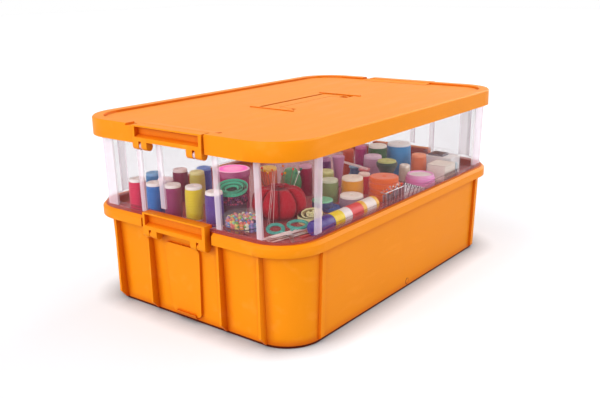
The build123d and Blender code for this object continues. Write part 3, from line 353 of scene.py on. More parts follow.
# %% Glossy plastics
def gloss(name, colour, roughness=0.25, **constants):
    finish = Finish(name, tint(*colour), Specular_IOR_Level=0.5, **constants)
    cloud = finish.noise(90.0, 3.0)
    finish.feed("Base Color", finish.tones(cloud, 0.9, 1.08))
    finish.feed("Roughness", roughness + finish.noise(240.0, 3.0) * 0.16)
    finish.bump(finish.noise(700.0, 2.0), 0.05 * MM, 0.3)
    return finish.material


# %% [markdown]
# Every modelled piece is built the same way: rings of points are skinned into a surface. A
# turned thing is a stack of level circles, a wire is a row of small circles along a path, and a
# ribbon is a four-cornered ring carried round a spiral. Moulding collects such skins, with a
# finish for each, and makes one object of them, which rides on the tray. The helpers take places
# in metres, and radii, rises and outlines in millimetres.

# %% Building meshes
TRAY = "tray"


class Moulding:
    def __init__(self, name):
        self.name = name
        self.points, self.faces, self.wraps, self.finishes, self.picked = [], [], [], [], []

    def face(self, corners, wraps, pick):
        self.faces.append(corners)
        self.wraps.extend(wraps)
        self.picked.append(pick)

    def skin(self, rings, material, looped=False):
        """Bridges rings that turn the same way; a looped skin joins its last ring to its first."""
        if material not in self.finishes:
            self.finishes.append(material)
        pick = self.finishes.index(material)
        start, count = len(self.points), len(rings[0])
        for ring in rings:
            self.points.extend(tuple(point) for point in ring)
        rows = len(rings) if looped else len(rings) - 1
        for row in range(rows):
            low, high = start + row * count, start + (row + 1) % len(rings) * count
            for step in range(count):
                ahead = (step + 1) % count
                corners = (low + step, low + ahead, high + ahead, high + step)
                sides = ((step, row), (step + 1, row), (step + 1, row + 1), (step, row + 1))
                self.face(corners, [(side / count, up / rows) for side, up in sides], pick)
        if not looped:
            last = start + (len(rings) - 1) * count
            foot, top = range(start + count - 1, start - 1, -1), range(last, last + count)
            self.face(tuple(foot), [(0.5, 0.0)] * count, pick)
            self.face(tuple(top), [(0.5, 1.0)] * count, pick)
        return self

    def make(self, node=None, slot=None, crease=38.0):
        """One object from all skins; it stands for a CAD node and hides it. The slot argument is
        not used.
        """
        mesh = bpy.data.meshes.new(self.name)
        mesh.from_pydata(self.points, [], self.faces)
        for material in self.finishes:
            mesh.materials.append(material)
        mesh.polygons.foreach_set("material_index", self.picked)
        wraps = [value for wrap in self.wraps for value in wrap]
        mesh.uv_layers.new(name="wrap").data.foreach_set("uv", wraps)
        mesh.shade_smooth()
        mesh.set_sharp_from_angle(angle=radians(crease))
        mesh.update()
        piece = put(self.name, mesh)
        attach(piece, TRAY)
        if node:
            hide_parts(node)
        return piece


def off(centre, reach, turn, rise=0.0):
    """The point at some reach and turn from a centre, and so far above it."""
    x, y, z = centre
    return x + reach * MM * cos(turn), y + reach * MM * sin(turn), z + rise * MM


def lift(rise):
    return Vector((0.0, 0.0, rise * MM))


def turns(steps):
    return [tau * step / steps for step in range(steps)]


def circle(radius, height, steps, centre):
    return [off(centre, radius, turn, height) for turn in turns(steps)]


def turned(outline, centre, steps=40):
    """Level circles for a list of (radius, height)."""
    return [circle(radius, height, steps, centre) for radius, height in outline]


def hoop(middle, side, up, radius, steps):
    """A ring in the plane of two directions."""
    return [middle + (side * cos(t) + up * sin(t)) * (radius * MM) for t in turns(steps)]


def along(points, radii, steps=6):
    """Circles square to a path, for wires, needles and tubes."""
    path = [Vector(point) for point in points]
    if not isinstance(radii, (list, tuple)):
        radii = [radii] * len(path)
    rings = []
    side = None
    for index, point in enumerate(path):
        ahead = path[min(index + 1, len(path) - 1)] - path[max(index - 1, 0)]
        ahead.normalize()
        side = side or ahead.orthogonal()
        side = (side - ahead * side.dot(ahead)).normalized()
        rings.append(hoop(point, side, ahead.cross(side), radii[index], steps))
    return rings


def ball(centre, radius, steps=8, rows=5):
    """Circles for a small ball, with its poles left as tiny flats."""
    polar = [pi * (row + 0.35) / (rows + 0.7) for row in range(rows + 1)]
    return turned([(radius * sin(t), -radius * cos(t)) for t in polar], centre, steps)


def block(low, near, far, edge, steps=3):
    """Rings for a block between two offsets from a corner, with its edges rounded."""
    near, far = Vector(low) + Vector(near) * MM, Vector(low) + Vector(far) * MM
    middle, half = (near + far) / 2, (far - near) / 2
    edge *= MM
    soft = edge * 0.35
    levels = ((soft, near.z), (0.0, near.z + soft), (0.0, far.z - soft), (soft, far.z))
    rings = []
    for inset, height in levels:
        ring = []
        radius = max(edge - inset, edge * 0.2)
        for quarter, (sign_x, sign_y) in enumerate(((1, 1), (-1, 1), (-1, -1), (1, -1))):
            x = middle.x + sign_x * (half.x - inset - radius)
            y = middle.y + sign_y * (half.y - inset - radius)
            for step in range(steps + 1):
                turn = pi / 2 * (quarter + step / steps)
                ring.append((x + radius * cos(turn), y + radius * sin(turn), height))
        rings.append(ring)
    return rings


# %% [markdown]
# Several spools of one colour share a node, so the mesh has to say where each one stands: it
# has as many islands as there are solids. Corners at the same place are joined first, because
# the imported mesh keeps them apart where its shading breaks.

# %% Where each solid stands
def solids(node):
    """The boxes of a node's solids, from the near end to the far end."""
    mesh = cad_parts[node].data
    spot = {}
    home = [spot.setdefault(tuple(round(v, 6) for v in vertex.co), vertex.index)
            for vertex in mesh.vertices]
    islands = []
    for polygon in mesh.polygons:
        island = {home[index] for index in polygon.vertices}
        for other in [other for other in islands if other & island]:
            islands.remove(other)
            island |= other
        islands.append(island)
    boxes = []
    for island in islands:
        axes = list(zip(*(mesh.vertices[index].co for index in island)))
        boxes.append((Vector([min(axis) for axis in axes]), Vector([max(axis) for axis in axes])))
    return sorted(boxes, key=lambda ends: ends[0].x + ends[1].x)


def standing(box):
    """Centre of the foot, radius and height of an upright round solid."""
    low, high = box
    centre = ((low.x + high.x) / 2, (low.y + high.y) / 2, low.z)
    return centre, (high.x - low.x) / 2 / MM, (high.z - low.z) / MM


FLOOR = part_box("tin_body")[0][2]
print("tray floor at", round(FLOOR, 4), "yellow spool", standing(solids("thread_yellow")[0]))

# %% [markdown]
# The moulded shell keeps its measured shape. A real moulding has no knife edges, so each orange
# part gets a small rounding as a modifier. The imported mesh is split along its creases, so a Weld
# comes first, or the Bevel would find no edge to work on.

# %% Dress the shell
ORANGE_PLASTIC = orange_plastic()
TOOL_STEEL = steel()
TRAY_PLASTIC = tray_plastic()
CASE_PLASTIC = clear_case()


def dress(node, material, edge=0.0):
    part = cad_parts[node]
    part.data.materials.clear()
    part.data.materials.append(material)
    if edge:
        weld = part.modifiers.new("weld", "WELD")
        weld.merge_threshold = 0.01 * MM
        soften = part.modifiers.new("soften", "BEVEL")
        soften.width = edge * MM
        soften.segments = 2
        soften.limit_method = "ANGLE"
        soften.angle_limit = radians(32)
        soften.harden_normals = True


for node, edge in (("base_tub", 0.8), ("lid", 0.7), ("handle", 0.9)):
    dress(node, ORANGE_PLASTIC, edge)
dress("handle_pins", TOOL_STEEL)
for storey in ("upper", "lower"):
    for side in ("near", "far"):
        dress(f"latch_{storey}_{side}", ORANGE_PLASTIC, 0.6)
dress("clear_tray", TRAY_PLASTIC)
print("shell dressed")

# %% [markdown]
# The floor is a pale sheet. It sends a little light of its own to the camera, straight, mirrored
# or through clear plastic, so that it shows as white where nothing shades it and still keeps the
# box's shadow. Close to the box its colour and its glow are darkened as a painted contact shadow.
# The world is white to the same rays, and gives a plain level of light to the rest.

# %% Floor and world
FLOOR_REACH = 9.0
FLOOR_GREY = (0.61, 0.62, 0.645)
FLOOR_SHADOW = (0.12, 0.11, 0.11)
FLOOR_GLOW = (0.34, 0.34, 0.34)
WORLD_LEVEL = 0.34


def lay_floor():
    finish = Finish("studio_floor", FLOOR_GREY, Specular_IOR_Level=0.0, Emission_Strength=1.0)
    seen = finish.seen()
    grain = finish.noise(40.0, 2.0) * 0.01
    # Painted contact shadow: colour and glow turn darker close to the box.
    open_air = finish.open_air(35.0 * MM, 8) ** 1.2
    finish.feed("Base Color", finish.mix(open_air, FLOOR_SHADOW, FLOOR_GREY))
    finish.feed("Emission Color", finish.mix(seen * open_air, BLACK, FLOOR_GLOW))
    finish.feed("Roughness", 0.85 + grain)
    mesh = bpy.data.meshes.new("studio_floor")
    low, high = -FLOOR_REACH, FLOOR_REACH
    corners = [(low, low, 0), (high, low, 0), (high, high, 0), (low, high, 0)]
    mesh.from_pydata(corners, [], [(0, 1, 2, 3)])
    mesh.materials.append(finish.material)
    put("studio_floor", mesh)


def light_world():
    world = bpy.data.worlds.new("studio")
    world.use_nodes = True
    scene.world = world
    nodes = Nodes(world.node_tree)
    background = nodes.tree.nodes["Background"]
    background.inputs["Color"].default_value = (1.0, 1.0, 1.0, 1.0)
    level = nodes.seen() * (1.0 - WORLD_LEVEL) + WORLD_LEVEL
    nodes.tree.links.new(level.socket, background.inputs["Strength"])


lay_floor()
light_world()
scene.view_settings.view_transform = "Standard"
print("floor and world ready")

# %% [markdown]
# The lid shades the tray, so light has to come in through the clear walls. Besides the key, high
# on the camera's left, four low lights come from the near corner and three sides. All are suns
# with a wide disc: the shadows stay soft, and the floor is lit evenly as far as the camera sees.
# A real lid lets some light through; a dim, cool panel just under it stands for that, and the
# camera doesn't see it.

# %% Lamps
SUNS = (
    ("key", (0.42, -0.28, -0.86), 0.30, 34), ("front_fill", (0.82, 0.44, -0.36), 0.42, 40),
    ("end_fill", (0.90, -0.30, -0.34), 0.56, 50), ("side_fill", (-0.40, 0.84, -0.34), 0.42, 50),
    ("far_fill", (-0.88, 0.16, -0.44), 0.64, 50),
)
UNDER_LID_WATTS = 0.18
UNDER_LID_TINT = (0.88, 1.0, 1.04)


def sun(name, towards, level, width):
    """A level of 1 shows a surface that faces the light in its own colour."""
    light = bpy.data.lights.new(name, "SUN")
    light.energy = level * pi
    light.angle = radians(width)
    put(name, light).rotation_euler = Vector(towards).to_track_quat("-Z", "Y").to_euler()


def panel_under_lid():
    low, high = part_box("lid")
    lamp = bpy.data.lights.new("under_lid", "AREA")
    lamp.shape = "RECTANGLE"
    lamp.size = (high.x - low.x) * 0.84
    lamp.size_y = (high.y - low.y) * 0.80
    lamp.energy = UNDER_LID_WATTS
    lamp.color = UNDER_LID_TINT
    panel = put("under_lid", lamp)
    panel.location = ((low.x + high.x) / 2, (low.y + high.y) / 2, low.z + 4.0 * MM)
    panel.visible_camera = False
    panel.visible_glossy = False


for lamp in SUNS:
    sun(*lamp)
panel_under_lid()
print("lamps ready")

# %% [markdown]
# A spool of thread is a moulded reel with a winding on it. Both are turned, so both come from an
# outline of radius and height. The reel has a foot flange, a core and a cap with a rounded edge
# and the small bore that takes the machine's pin. The winding swells a little in the middle, and
# dips between one layer of turns and the next.

# %% Reels and windings
EVEN = random.Random(7)
BORE = 1.9
PLUMP = 0.7


def cap_outline(r, low, high):
    shoulder = min(1.5, (high - low) * 0.45)
    return [
        (r - 0.25, low), (r, low + 0.3), (r, high - shoulder),
        (r - shoulder * 0.25, high - shoulder * 0.35), (r - shoulder * 0.9, high),
        (r * 0.55, high), (BORE * 1.5, high - 0.2), (BORE * 1.15, high - 0.3),
        (BORE, high - 0.7), (BORE, low + (high - low) * 0.2),
    ]


def winding_outline(low, high, core, r, pitch=1.25, belly=0.35, dip=0.22):
    layers = max(3, int((high - low) / pitch))
    step = (high - low) / layers
    outline = [(core, low), (r - 0.9, low)]
    for layer in range(layers):
        middle = (layer + 0.5) / layers
        out = r - belly * (2 * middle - 1) ** 2 - EVEN.uniform(0.0, 0.12)
        base = low + step * layer
        outline += [(out - dip, base + step * 0.08), (out, base + step * 0.5)]
    return outline + [(r - 0.9, high), (core, high)]


def cone_outline(r, h, steps=30):
    side = [(3.4 + (r - 3.4) * t / steps + t % 2 * 0.2, h * t / steps) for t in range(1, steps)]
    return [(2.2, 0)] + side + [(r, h), (r * 0.4, h)]


THREADS = {
    "thread_red": {"red": (232, 34, 84)},
    "thread_blue": {"blue": (16, 116, 194)},
    "thread_maroon": {"maroon": (150, 50, 104), "brown": (138, 38, 78)},
    "thread_yellow": {"yellow": (255, 214, 26)},
    "thread_purple": {"purple": (84, 56, 146), "violet": (52, 90, 190), "plum": (104, 44, 110)},
    "thread_sky": {"sky": (60, 146, 206), "big_sky": (54, 160, 226)},
    "thread_mauve": {"mauve": (164, 82, 128), "cone": (206, 140, 186)},
    "thread_khaki": {"khaki": (222, 212, 96), "sage": (140, 164, 104), "olive": (190, 190, 112)},
    "thread_orange": {"amber": (244, 108, 66), "orange": (255, 160, 24)},
    "thread_terracotta": {"rust": (204, 72, 28), "terracotta": (240, 122, 70)},
    "thread_crimson": {"wine": (172, 26, 76), "crimson": (226, 38, 58)},
    "thread_magenta": {"magenta": (196, 48, 132)},
    "thread_green": {"bottle_green": (10, 104, 58)},
    "thread_pale": {"pearl": (160, 136, 152), "blush": (200, 152, 184), "ivory": (236, 222, 200)},
}
ON_REELS = ("red", "blue", "maroon", "yellow", "purple")
print(sum(len(tones) for tones in THREADS.values()), "thread colours")

# %% [markdown]
# The windings are made node by node. A spool that shows its own reel is wound on the reel's
# core; the others stand in rows where only their cap and winding show, so theirs goes down to
# the floor and closes there.

# %% Wind the thread
def wind(node, tones):
    piece = Moulding(node + "_wound")
    for (name, tone), box in zip(tones.items(), solids(node)):
        centre, r, h = standing(box)
        if name == "cone":
            outline = cone_outline(r, h)
        elif name in ON_REELS:
            outline = winding_outline(0, h, 4.7, r + PLUMP)
        else:
            outline = winding_outline(0, h, 2.0, r)
        piece.skin(turned(outline, centre, 36), textile(f"thread_{name}_cotton", tone))
    piece.make(node)


for node, tones in THREADS.items():
    wind(node, tones)
print("windings", len(THREADS))

# %% [markdown]
# Caps and reels are moulded in a slightly chalky plastic. Each family is one object, and the
# order of the solids from the near end gives each cap its own tone.

# %% Caps
CHALK = {
    "reels_white": [(252, 242, 240)],
    "caps_tinted": [(250, 230, 238), (128, 186, 232), (246, 228, 228), (244, 240, 168),
                    (116, 158, 232)],
    "caps_grey": [(255, 206, 104), (216, 226, 196), (224, 166, 192), (214, 216, 152),
                  (176, 120, 164), (220, 98, 62), (232, 206, 228), (214, 108, 164)],
    "caps_cream": [(252, 242, 234), (255, 236, 216), (255, 230, 218), (250, 244, 232),
                   (252, 250, 236), (250, 158, 116), (242, 252, 255)],
}


def cap_family(node, tones):
    piece = Moulding(node + "_turned")
    for index, box in enumerate(solids(node)):
        centre, r, h = standing(box)
        outline = [(r * 0.5, 0)] + cap_outline(r, 0, h)
        if node == "reels_white":
            r, rim = r + PLUMP, h - min(3.6, h / 5)
            outline = [(r - 0.4, 0), (r, 0.4), (r, 1.3), (r - 0.3, 1.6), (4.4, 1.62), (4.4, rim)]
            outline += cap_outline(r, rim, h)
        finish = gloss(f"{node}_plastic_{index}", tones[index % len(tones)], 0.42)
        piece.skin(turned(outline, centre, 36), finish)
    piece.make(node)


for node, tones in CHALK.items():
    cap_family(node, tones)
print("cap families", len(CHALK))

# %% [markdown]
# The tins are pressed sheet with a rolled rim; the pink one's lid has a raised ring round a
# slightly sunk top. They are turned, with close rings at each fold so that the fold stays crisp,
# from outlines that follow the measured radius and height. The top of the tall tin is painted
# pale and glows a little: painted light for what the box's lid lets through.

# %% Tins and discs
def drum(name, node, *skins, steps=48, spread=0.0):
    """A turned piece in a node's place, of skins that are each an outline and its finish."""
    centre, r, h = standing(solids(node)[0])
    piece = Moulding(name)
    for outline, finish in skins:
        piece.skin(turned(outline(r + spread, h), centre, steps), finish)
    piece.make(node)


def tin_top_painted_glow(name, colour, level):
    # Painted light: a pale colour and a faint pink emission on the tin's raised ring and top.
    glow = (*tint(216, 90, 150), 1.0)
    return gloss(name, colour, 0.26, Emission_Color=glow, Emission_Strength=level)


def stack_outline(r, h):
    outline = []
    for layer, inset in enumerate((0.0, 1.0, 0.3, 1.2)):
        low, high, out = h * layer / 4, h * (layer + 1) / 4, r - inset
        outline += [(out - 1.2, low), (out - 0.3, low + 0.9), (out, (low + high) / 2),
                    (out - 0.3, high - 0.9), (out - 1.2, high)]
    return outline + [(r * 0.5, h), (3.2, h - 0.3), (2.6, h - 1.4)]


drum("tin_body_pressed", "tin_body", (
    lambda r, h: [(r - 1.2, 0), (r - 0.3, 0.4), (r, 1.6), (r - 0.2, 2.4)]
    + [(r - 0.2, h * t / 6) for t in range(1, 7)], gloss("tin_maroon", (170, 62, 110), 0.3)))
drum("tin_lid_pressed", "tin_lid", (
    lambda r, h: [(r - 0.6, 0), (r - 0.1, 0.25), (r, 0.9), (r - 0.3, 1.6), (r - 0.2, h - 2.2),
                  (r - 0.5, h - 0.8)], gloss("tin_pink", (176, 70, 124), 0.26)), (
    lambda r, h: [(r - 0.5, h - 0.8), (r - 1.6, h), (r - 3.0, h), (r - 3.6, h - 0.4)],
    tin_top_painted_glow("tin_pink_rim", (255, 214, 240), 0.35)), (
    lambda r, h: [(r - 3.6, h - 0.4), (r - 4.0, h - 0.7), (r * 0.45, h - 0.2), (1.6, h - 0.2),
                  (1.2, h - 0.8)], tin_top_painted_glow("tin_pink_crown", (255, 196, 236), 0.55)))
drum("pink_tin_band", "pink_tin", (
    lambda r, h: [(r - 1.0, 0), (r - 0.2, 0.5), (r, 1.4), (r, h * 0.42), (r - 0.5, h * 0.46),
                  (r - 0.5, h * 0.52), (r, h * 0.56), (r, h - 1.0), (r - 0.6, h)],
    gloss("pink_tin_pink", (255, 150, 218), 0.24)))
drum("pink_tin_lid", "pink_tin_top", (
    lambda r, h: [(r, 0), (r, h * 0.6), (r - 0.6, h * 0.92), (r - 1.5, h), (r - 2.4, h - 0.4),
                  (r - 2.8, h - 1.6)], gloss("pink_tin_rim", (255, 176, 228), 0.24)), (
    lambda r, h: [(r - 2.7, h - 1.7), (r - 2.9, h - 1.5), (r * 0.4, h - 1.2), (1.4, h - 1.1),
                  (1.0, h - 1.5)], gloss("pink_tin_white", (255, 250, 246), 0.35)))
drum("blue_disc_turned", "blue_disc", (
    lambda r, h: [(r - 0.8, 0), (r, 0.8), (r, h - 1.0), (r - 0.9, h), (r * 0.7, h),
                  (r * 0.64, h - 0.9), (2.4, h - 0.9), (1.8, h - 2.0)],
    gloss("disc_blue", (66, 108, 182), 0.3)))
drum("green_disc_turned", "green_disc", (
    lambda r, h: winding_outline(0, h * 0.72, 2.0, r - 0.2, 1.1),
    textile("disc_teal_thread", (54, 84, 132))), (
    lambda r, h: [(r - 0.6, h * 0.72), (r, h * 0.78), (r - 0.6, h * 0.93), (r * 0.78, h),
                  (r * 0.4, h - 0.3), (2.4, h - 0.5), (1.8, h - 1.6)],
    gloss("disc_green", (120, 206, 160), 0.3)))
drum("pine_roll_wound", "pine_roll", (
    lambda r, h: [(r * 0.5, 0), (r * 0.56, 0.6), (r * 0.54, h * 0.3), (r * 0.62, h * 0.52),
                  (r * 0.8, h * 0.68), (r * 0.97, h * 0.82), (r, h * 0.88), (r, h * 0.97),
                  (r - 0.6, h)], textile("pine_thread", (26, 72, 58))))
drum("pine_roll_label", "pine_roll_face", (
    lambda r, h: [(r, 0), (r, h * 0.5), (r - 0.7, h), (r - 2.2, h), (r - 2.6, h - 0.4),
                  (BORE * 1.6, h - 0.4), (BORE, h - 0.9), (BORE, 0.3)],
    gloss("pine_face_card", (196, 206, 128), 0.5)))
drum("wound_stack_rings", "wound_stack",
     (stack_outline, textile("stack_orange", (255, 106, 24), 34.0, 2.0)), steps=56)
print("tins and discs done")

# %% [markdown]
# Ribbon and bias tape are flat strips rolled on edge. A strip is a thin four-cornered ring
# carried round a spiral whose radius grows by a little more than the strip's own thickness. Both
# rolls tip towards the near corner, so that one looks down into them.

# %% Rolled strips
DOWNHILL = (-0.80, -0.60)
RIBBON_DROP = 4.0
RIBBON_LEVEL = 4.2


def strip(points, thick, height, flare=0.0):
    """Four-cornered rings that stand on edge along level points; flare leans the top outwards."""
    rings = []
    for index, point in enumerate(points):
        after, before = points[min(index + 1, len(points) - 1)], points[max(index - 1, 0)]
        ahead = Vector((after[0] - before[0], after[1] - before[1], 0.0)).normalized()
        out = Vector((ahead.y, -ahead.x, 0.0))
        low = Vector(point)
        high = low + lift(height) + out * flare * MM
        side = out * thick * MM / 2
        rings.append([low - side, low + side, high + side, high - side])
    return rings


def spiral(centre, inner, outer, rounds, steps, wobble, start):
    points = []
    for index in range(int(rounds * steps) + 1):
        share = index / (rounds * steps)
        angle = tau * rounds * share + start
        reach = inner + (outer - inner) * share + wobble * sin(angle * 2.3)
        points.append(off(centre, reach, angle))
    return points


def tipped(points, centre, rise, slope):
    """Level points moved to a plane that slopes down towards the near corner."""
    return [
        (x, y, z + rise * MM
         - ((x - centre[0]) * DOWNHILL[0] + (y - centre[1]) * DOWNHILL[1]) * slope)
        for x, y, z in points]


def ribbon_coil():
    """A few loose turns, a lit and a shaded copy of one green by turns as painted light and shade,
    over a dark disc of painted shade in the hollow.
    """
    centre = standing(solids("ribbon_coil")[0])[0]
    level = RIBBON_LEVEL - RIBBON_DROP
    piece = Moulding("ribbon_coil_tape")
    # Painted light and shade: the turns alternate a lit and a shaded copy of one green; the hollow
    # is a dark disc of painted shade.
    light, deep, dark = (textile("ribbon_" + name, tone, 30.0, 0.0) for name, tone in (
        ("green", (62, 190, 150)), ("shaded_green", (22, 124, 98)), ("shadowed", (14, 52, 44))))
    loops = ((16.4, 17.2, 0.0, 3.6, 0.6, light), (14.6, 14.0, -0.6, 3.4, 0.8, deep),
             (12.0, 11.2, 0.2, 3.2, 0.8, light), (9.4, 8.6, -0.9, 3.0, 0.8, deep),
             (7.6, 6.4, -0.8, 2.4, 0.4, light))
    for turn, (inner, outer, rise, tall, flare, finish) in enumerate(loops):
        points = spiral(centre, inner, outer, 1.06, 56, 0.35, 1.3 * turn + 0.5)
        piece.skin(strip(tipped(points, centre, level + rise, 0.24), 0.7, tall, flare), finish)
    hollow = turned([(reach, 0) for reach in (15.0, 11.0, 6.0, 1.0)], centre, 30)
    piece.skin([tipped(ring, centre, level - 1.3, 0.24) for ring in hollow], dark)
    piece.make("ribbon_coil")


def tape_roll():
    """A roll seen from above: ridges where the turns end, and a loose curl in its heart."""
    centre, r, h = standing(solids("tape_roll")[0])
    cream = textile("tape_cream", (244, 234, 170), 26.0, 0.0)
    shaded = textile("tape_shadowed", (150, 136, 84), 26.0, 0.0)
    piece = Moulding("tape_roll_strip")
    wall = [(r - 0.8, 0.1), (r, 0.9), (r, h * 0.30), (r - 0.3, h * 0.34), (r - 0.2, h * 0.60),
            (r - 0.5, h * 0.64), (r - 1.0, h * 0.66)]
    piece.skin(turned(wall, centre, 48), cream)
    piece.skin(turned([(r - 1.0, h * 0.66), (r - 1.6, h * 0.40), (2.0, h * 0.34)], centre), shaded)
    for inner, outer, rounds, start, tall, finish in (
            (11.0, 12.2, 1.0, 0.6, 4.4, cream), (8.4, 9.4, 0.9, 3.4, 4.0, shaded),
            (5.4, 7.2, 0.9, 1.2, 4.2, cream), (1.2, 3.8, 1.1, 1.4, 4.0, cream)):
        points = spiral(centre, inner, outer, rounds, 48, 0.3, start)
        piece.skin(strip(tipped(points, centre, h * 0.60 - 1.0, 0.20), 1.2, tall), finish)
    piece.make("tape_roll")


ribbon_coil()
tape_roll()
print("ribbon and tape rolled")

# %% [markdown]
# Under the green ribbon stands a dark roll whose top edge carries rows of small beads; beside it
# lies a clear jar full of larger ones. Beads are small turned balls, and a seeded choice gives
# each its colour, its size and a slight shift off its row, which is what makes them look poured.

# %% Beads
BEAD_TONES = [gloss("bead_" + name, tone, 0.18) for name, tone in {
    "yellow": (238, 206, 108), "orange": (238, 148, 76), "coral": (236, 120, 108),
    "pink": (232, 158, 176), "violet": (146, 124, 190), "blue": (108, 140, 196),
    "mint": (150, 206, 150), "green": (120, 176, 84), "cream": (250, 238, 208),
    "navy": (44, 44, 88)}.items()]
NAVY = BEAD_TONES[-1]
BY_THE_WALL = [BEAD_TONES[index] for index in (1, 8, 4, 5, 2, 0)]
LARGE_BEAD, SMALL_BEAD, ROLL_BEAD = 2.6, 1.9, 1.35
JAR_SPREAD = 2.2


def bead_ring(piece, centre, reach, rise, count, size, tones, dice, drop=0.0):
    shift = dice.uniform(0.0, tau)
    for index in range(count):
        turn = shift + tau * (index + dice.uniform(-0.12, 0.12)) / count
        near = reach - dice.uniform(0.0, 0.3)
        spot = off(centre, near, turn, rise - dice.uniform(0.0, drop))
        piece.skin(ball(spot, size * dice.uniform(0.9, 1.04), 8, 4), dice.choice(tones))


def beaded_roll():
    dice = random.Random(11)
    centre, r, h = standing(solids("beaded_roll")[0])
    h -= RIBBON_DROP
    piece = Moulding("beaded_roll_body")
    outline = winding_outline(0, h, 2.0, r - 1.5, 2.4, 0.3, 0.2)
    piece.skin(turned(outline, centre, 44), textile("roll_umber", (78, 56, 74), 60.0))
    shades = [gloss("roll_bead_" + name, tone, 0.2) for name, tone in (
        ("dark", (74, 40, 66)), ("rose", (176, 74, 104)), ("plum", (112, 62, 108)))]
    for row in range(4):
        rise = h - ROLL_BEAD - row * 2.5
        bead_ring(piece, centre, r - ROLL_BEAD, rise, 38, ROLL_BEAD, shades, dice)
    piece.make("beaded_roll")


def jar_of_beads():
    """Columns of large beads by the wall, small ones poured on top, a dark core between as painted
    shade, and a thin dark ring of painted shadow below the poured beads.
    """
    dice = random.Random(23)
    centre, r, h = standing(solids("beads")[0])
    r += JAR_SPREAD
    piece = Moulding("beads_poured")
    for index, turn in enumerate(turns(20)):
        for row in range(3):
            spot = off(centre, r - LARGE_BEAD - 0.2, turn, LARGE_BEAD + row * 3.6)
            piece.skin(ball(spot, LARGE_BEAD, 10, 6), BY_THE_WALL[index % 6])
    rings = [(r - SMALL_BEAD - 0.3, h - 3.8 * row - 3.0, 27, 0.6) for row in range(2)]
    rings += [(reach, h - SMALL_BEAD - 0.2, count, 0.8) for reach, count in (
        (16.2, 23), (12.2, 17), (8.2, 11), (4.2, 6), (0.2, 1))]
    for reach, rise, count, drop in rings:
        bead_ring(piece, centre, reach, rise, count, SMALL_BEAD, BEAD_TONES, dice, drop)
    # Painted shadow: a thin dark ring round the inside of the jar below the poured beads.
    seam = circle(r - 0.5, h - 10.6, 40, centre)
    piece.skin(along(seam + seam[:2], 0.42), NAVY)
    # Painted shade: a dark core fills the jar between the beads.
    core = [(r - 5.6, 0.2), (r - 5.6, h - 3.6), (2.0, h - 3.6)]
    piece.skin(turned(core, centre, 20), NAVY)
    piece.make("beads")


beaded_roll()
jar_of_beads()
drum("bead_jar_shell", "bead_jar", (
    lambda r, h: [(r - 2.4, 0), (r - 0.8, 0.5), (r - 0.1, 2.0), (r, 4.0), (r, h - 1.6),
                  (r - 0.4, h - 0.9), (r - 0.3, h), (r - 1.1, h), (r - 1.2, 2.6), (r - 2.5, 1.4),
                  (2.0, 1.4)], CASE_PLASTIC), spread=JAR_SPREAD)
drum("bead_jar_cover", "bead_jar_lid", (
    lambda r, h: [(r - 0.3, 0), (r, 0.3), (r, 1.2), (r - 0.5, 1.8), (r - 1.6, 2.7),
                  (r * 0.72, 3.6), (r * 0.4, h), (1.0, h)], CASE_PLASTIC), spread=JAR_SPREAD)
print("beads done")

# %% [markdown]
# The pincushion is a stuffed ball of red cloth drawn in by threads from top to bottom, so its
# sides bulge between them. Its radius is written as a function of the turn and the height: full
# between the threads and pulled in at each, more so near the top, where it also sinks.

# %% Pincushion
LOBES = 8
SUNK_FROM = 0.86


def lobed_ball(rows=26, steps=128):
    (x, y, z), radius, height = standing(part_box("pincushion"))
    centre = (x + 0.8 * MM, y - 0.8 * MM, z)
    radius, height = radius + 3.2, height + 2.0
    rings = []
    for row in range(rows + 1):
        share = row / rows
        polar = pi * (0.12 + 0.80 * share)
        rim = sin(polar) ** (0.62 if polar < pi / 2 else 0.78)
        sunk = 0.10 * (max(0.0, share - SUNK_FROM) / (1 - SUNK_FROM)) ** 2
        ring = []
        for turn in turns(steps):
            fold = abs(sin(turn * LOBES / 2 + 0.35)) ** 0.5
            pull = 0.20 + 0.24 * share ** 2
            rise = (1 - cos(polar) - 0.064) / 1.94 - 0.05 * (1 - fold) * share - sunk
            reach = radius * rim * (1 - pull * (1 - fold))
            ring.append(off(centre, reach, turn, height * max(0.0, min(1.0, rise))))
        rings.append(ring)
    piece = Moulding("pincushion_cloth")
    # Painted shade: the felt finish darkens the cloth in the deep folds between the lobes.
    piece.skin(rings, felt("pincushion_red_cloth", (174, 4, 34), 700.0, 9.0 * MM))
    cushion = piece.make("pincushion", crease=70.0)
    return Vector(centre) + lift(height)


def crown(top):
    """Felt leaves round a button where the threads come together."""
    finish = felt("crown_crimson_felt", (146, 10, 38))
    _, reach, thick = standing(solids("pincushion_crown")[0])
    reach *= 0.72
    upper = lift(0.35)
    piece = Moulding("pincushion_leaves")
    for angle in turns(6):
        out = Vector((cos(angle), sin(angle), 0.0))
        side = Vector((-out.y, out.x, 0.0))
        rings = []
        for share in (step / 8 for step in range(9)):
            half = side * (reach * 0.24 * sin(pi * (0.12 + 0.86 * share)) ** 0.8 * MM)
            rise = thick * (1.1 * sin(share * 2.6) - 1.2)
            middle = top + lift(rise) + out * (reach * share * MM)
            rings.append([middle - half, middle + half, middle + half * 0.9 + upper,
                          middle + upper * 1.6, middle - half * 0.9 + upper])
        piece.skin(rings, finish)
    piece.skin(turned([(2.6, -thick), (2.8, -thick * 0.4), (2.0, 0)], top, 16), finish)
    piece.make("pincushion_crown")


CUSHION_TOP = lobed_ball()
crown(CUSHION_TOP)
print("pincushion up to", round(CUSHION_TOP.z, 4))

# %% [markdown]
# Pins and needles stand in the cushion. Each is a thin tapered wire that starts inside the
# cloth, and each pin has a glass head. Three long needles lean on the cushion's near side with
# their points on the tray's floor.

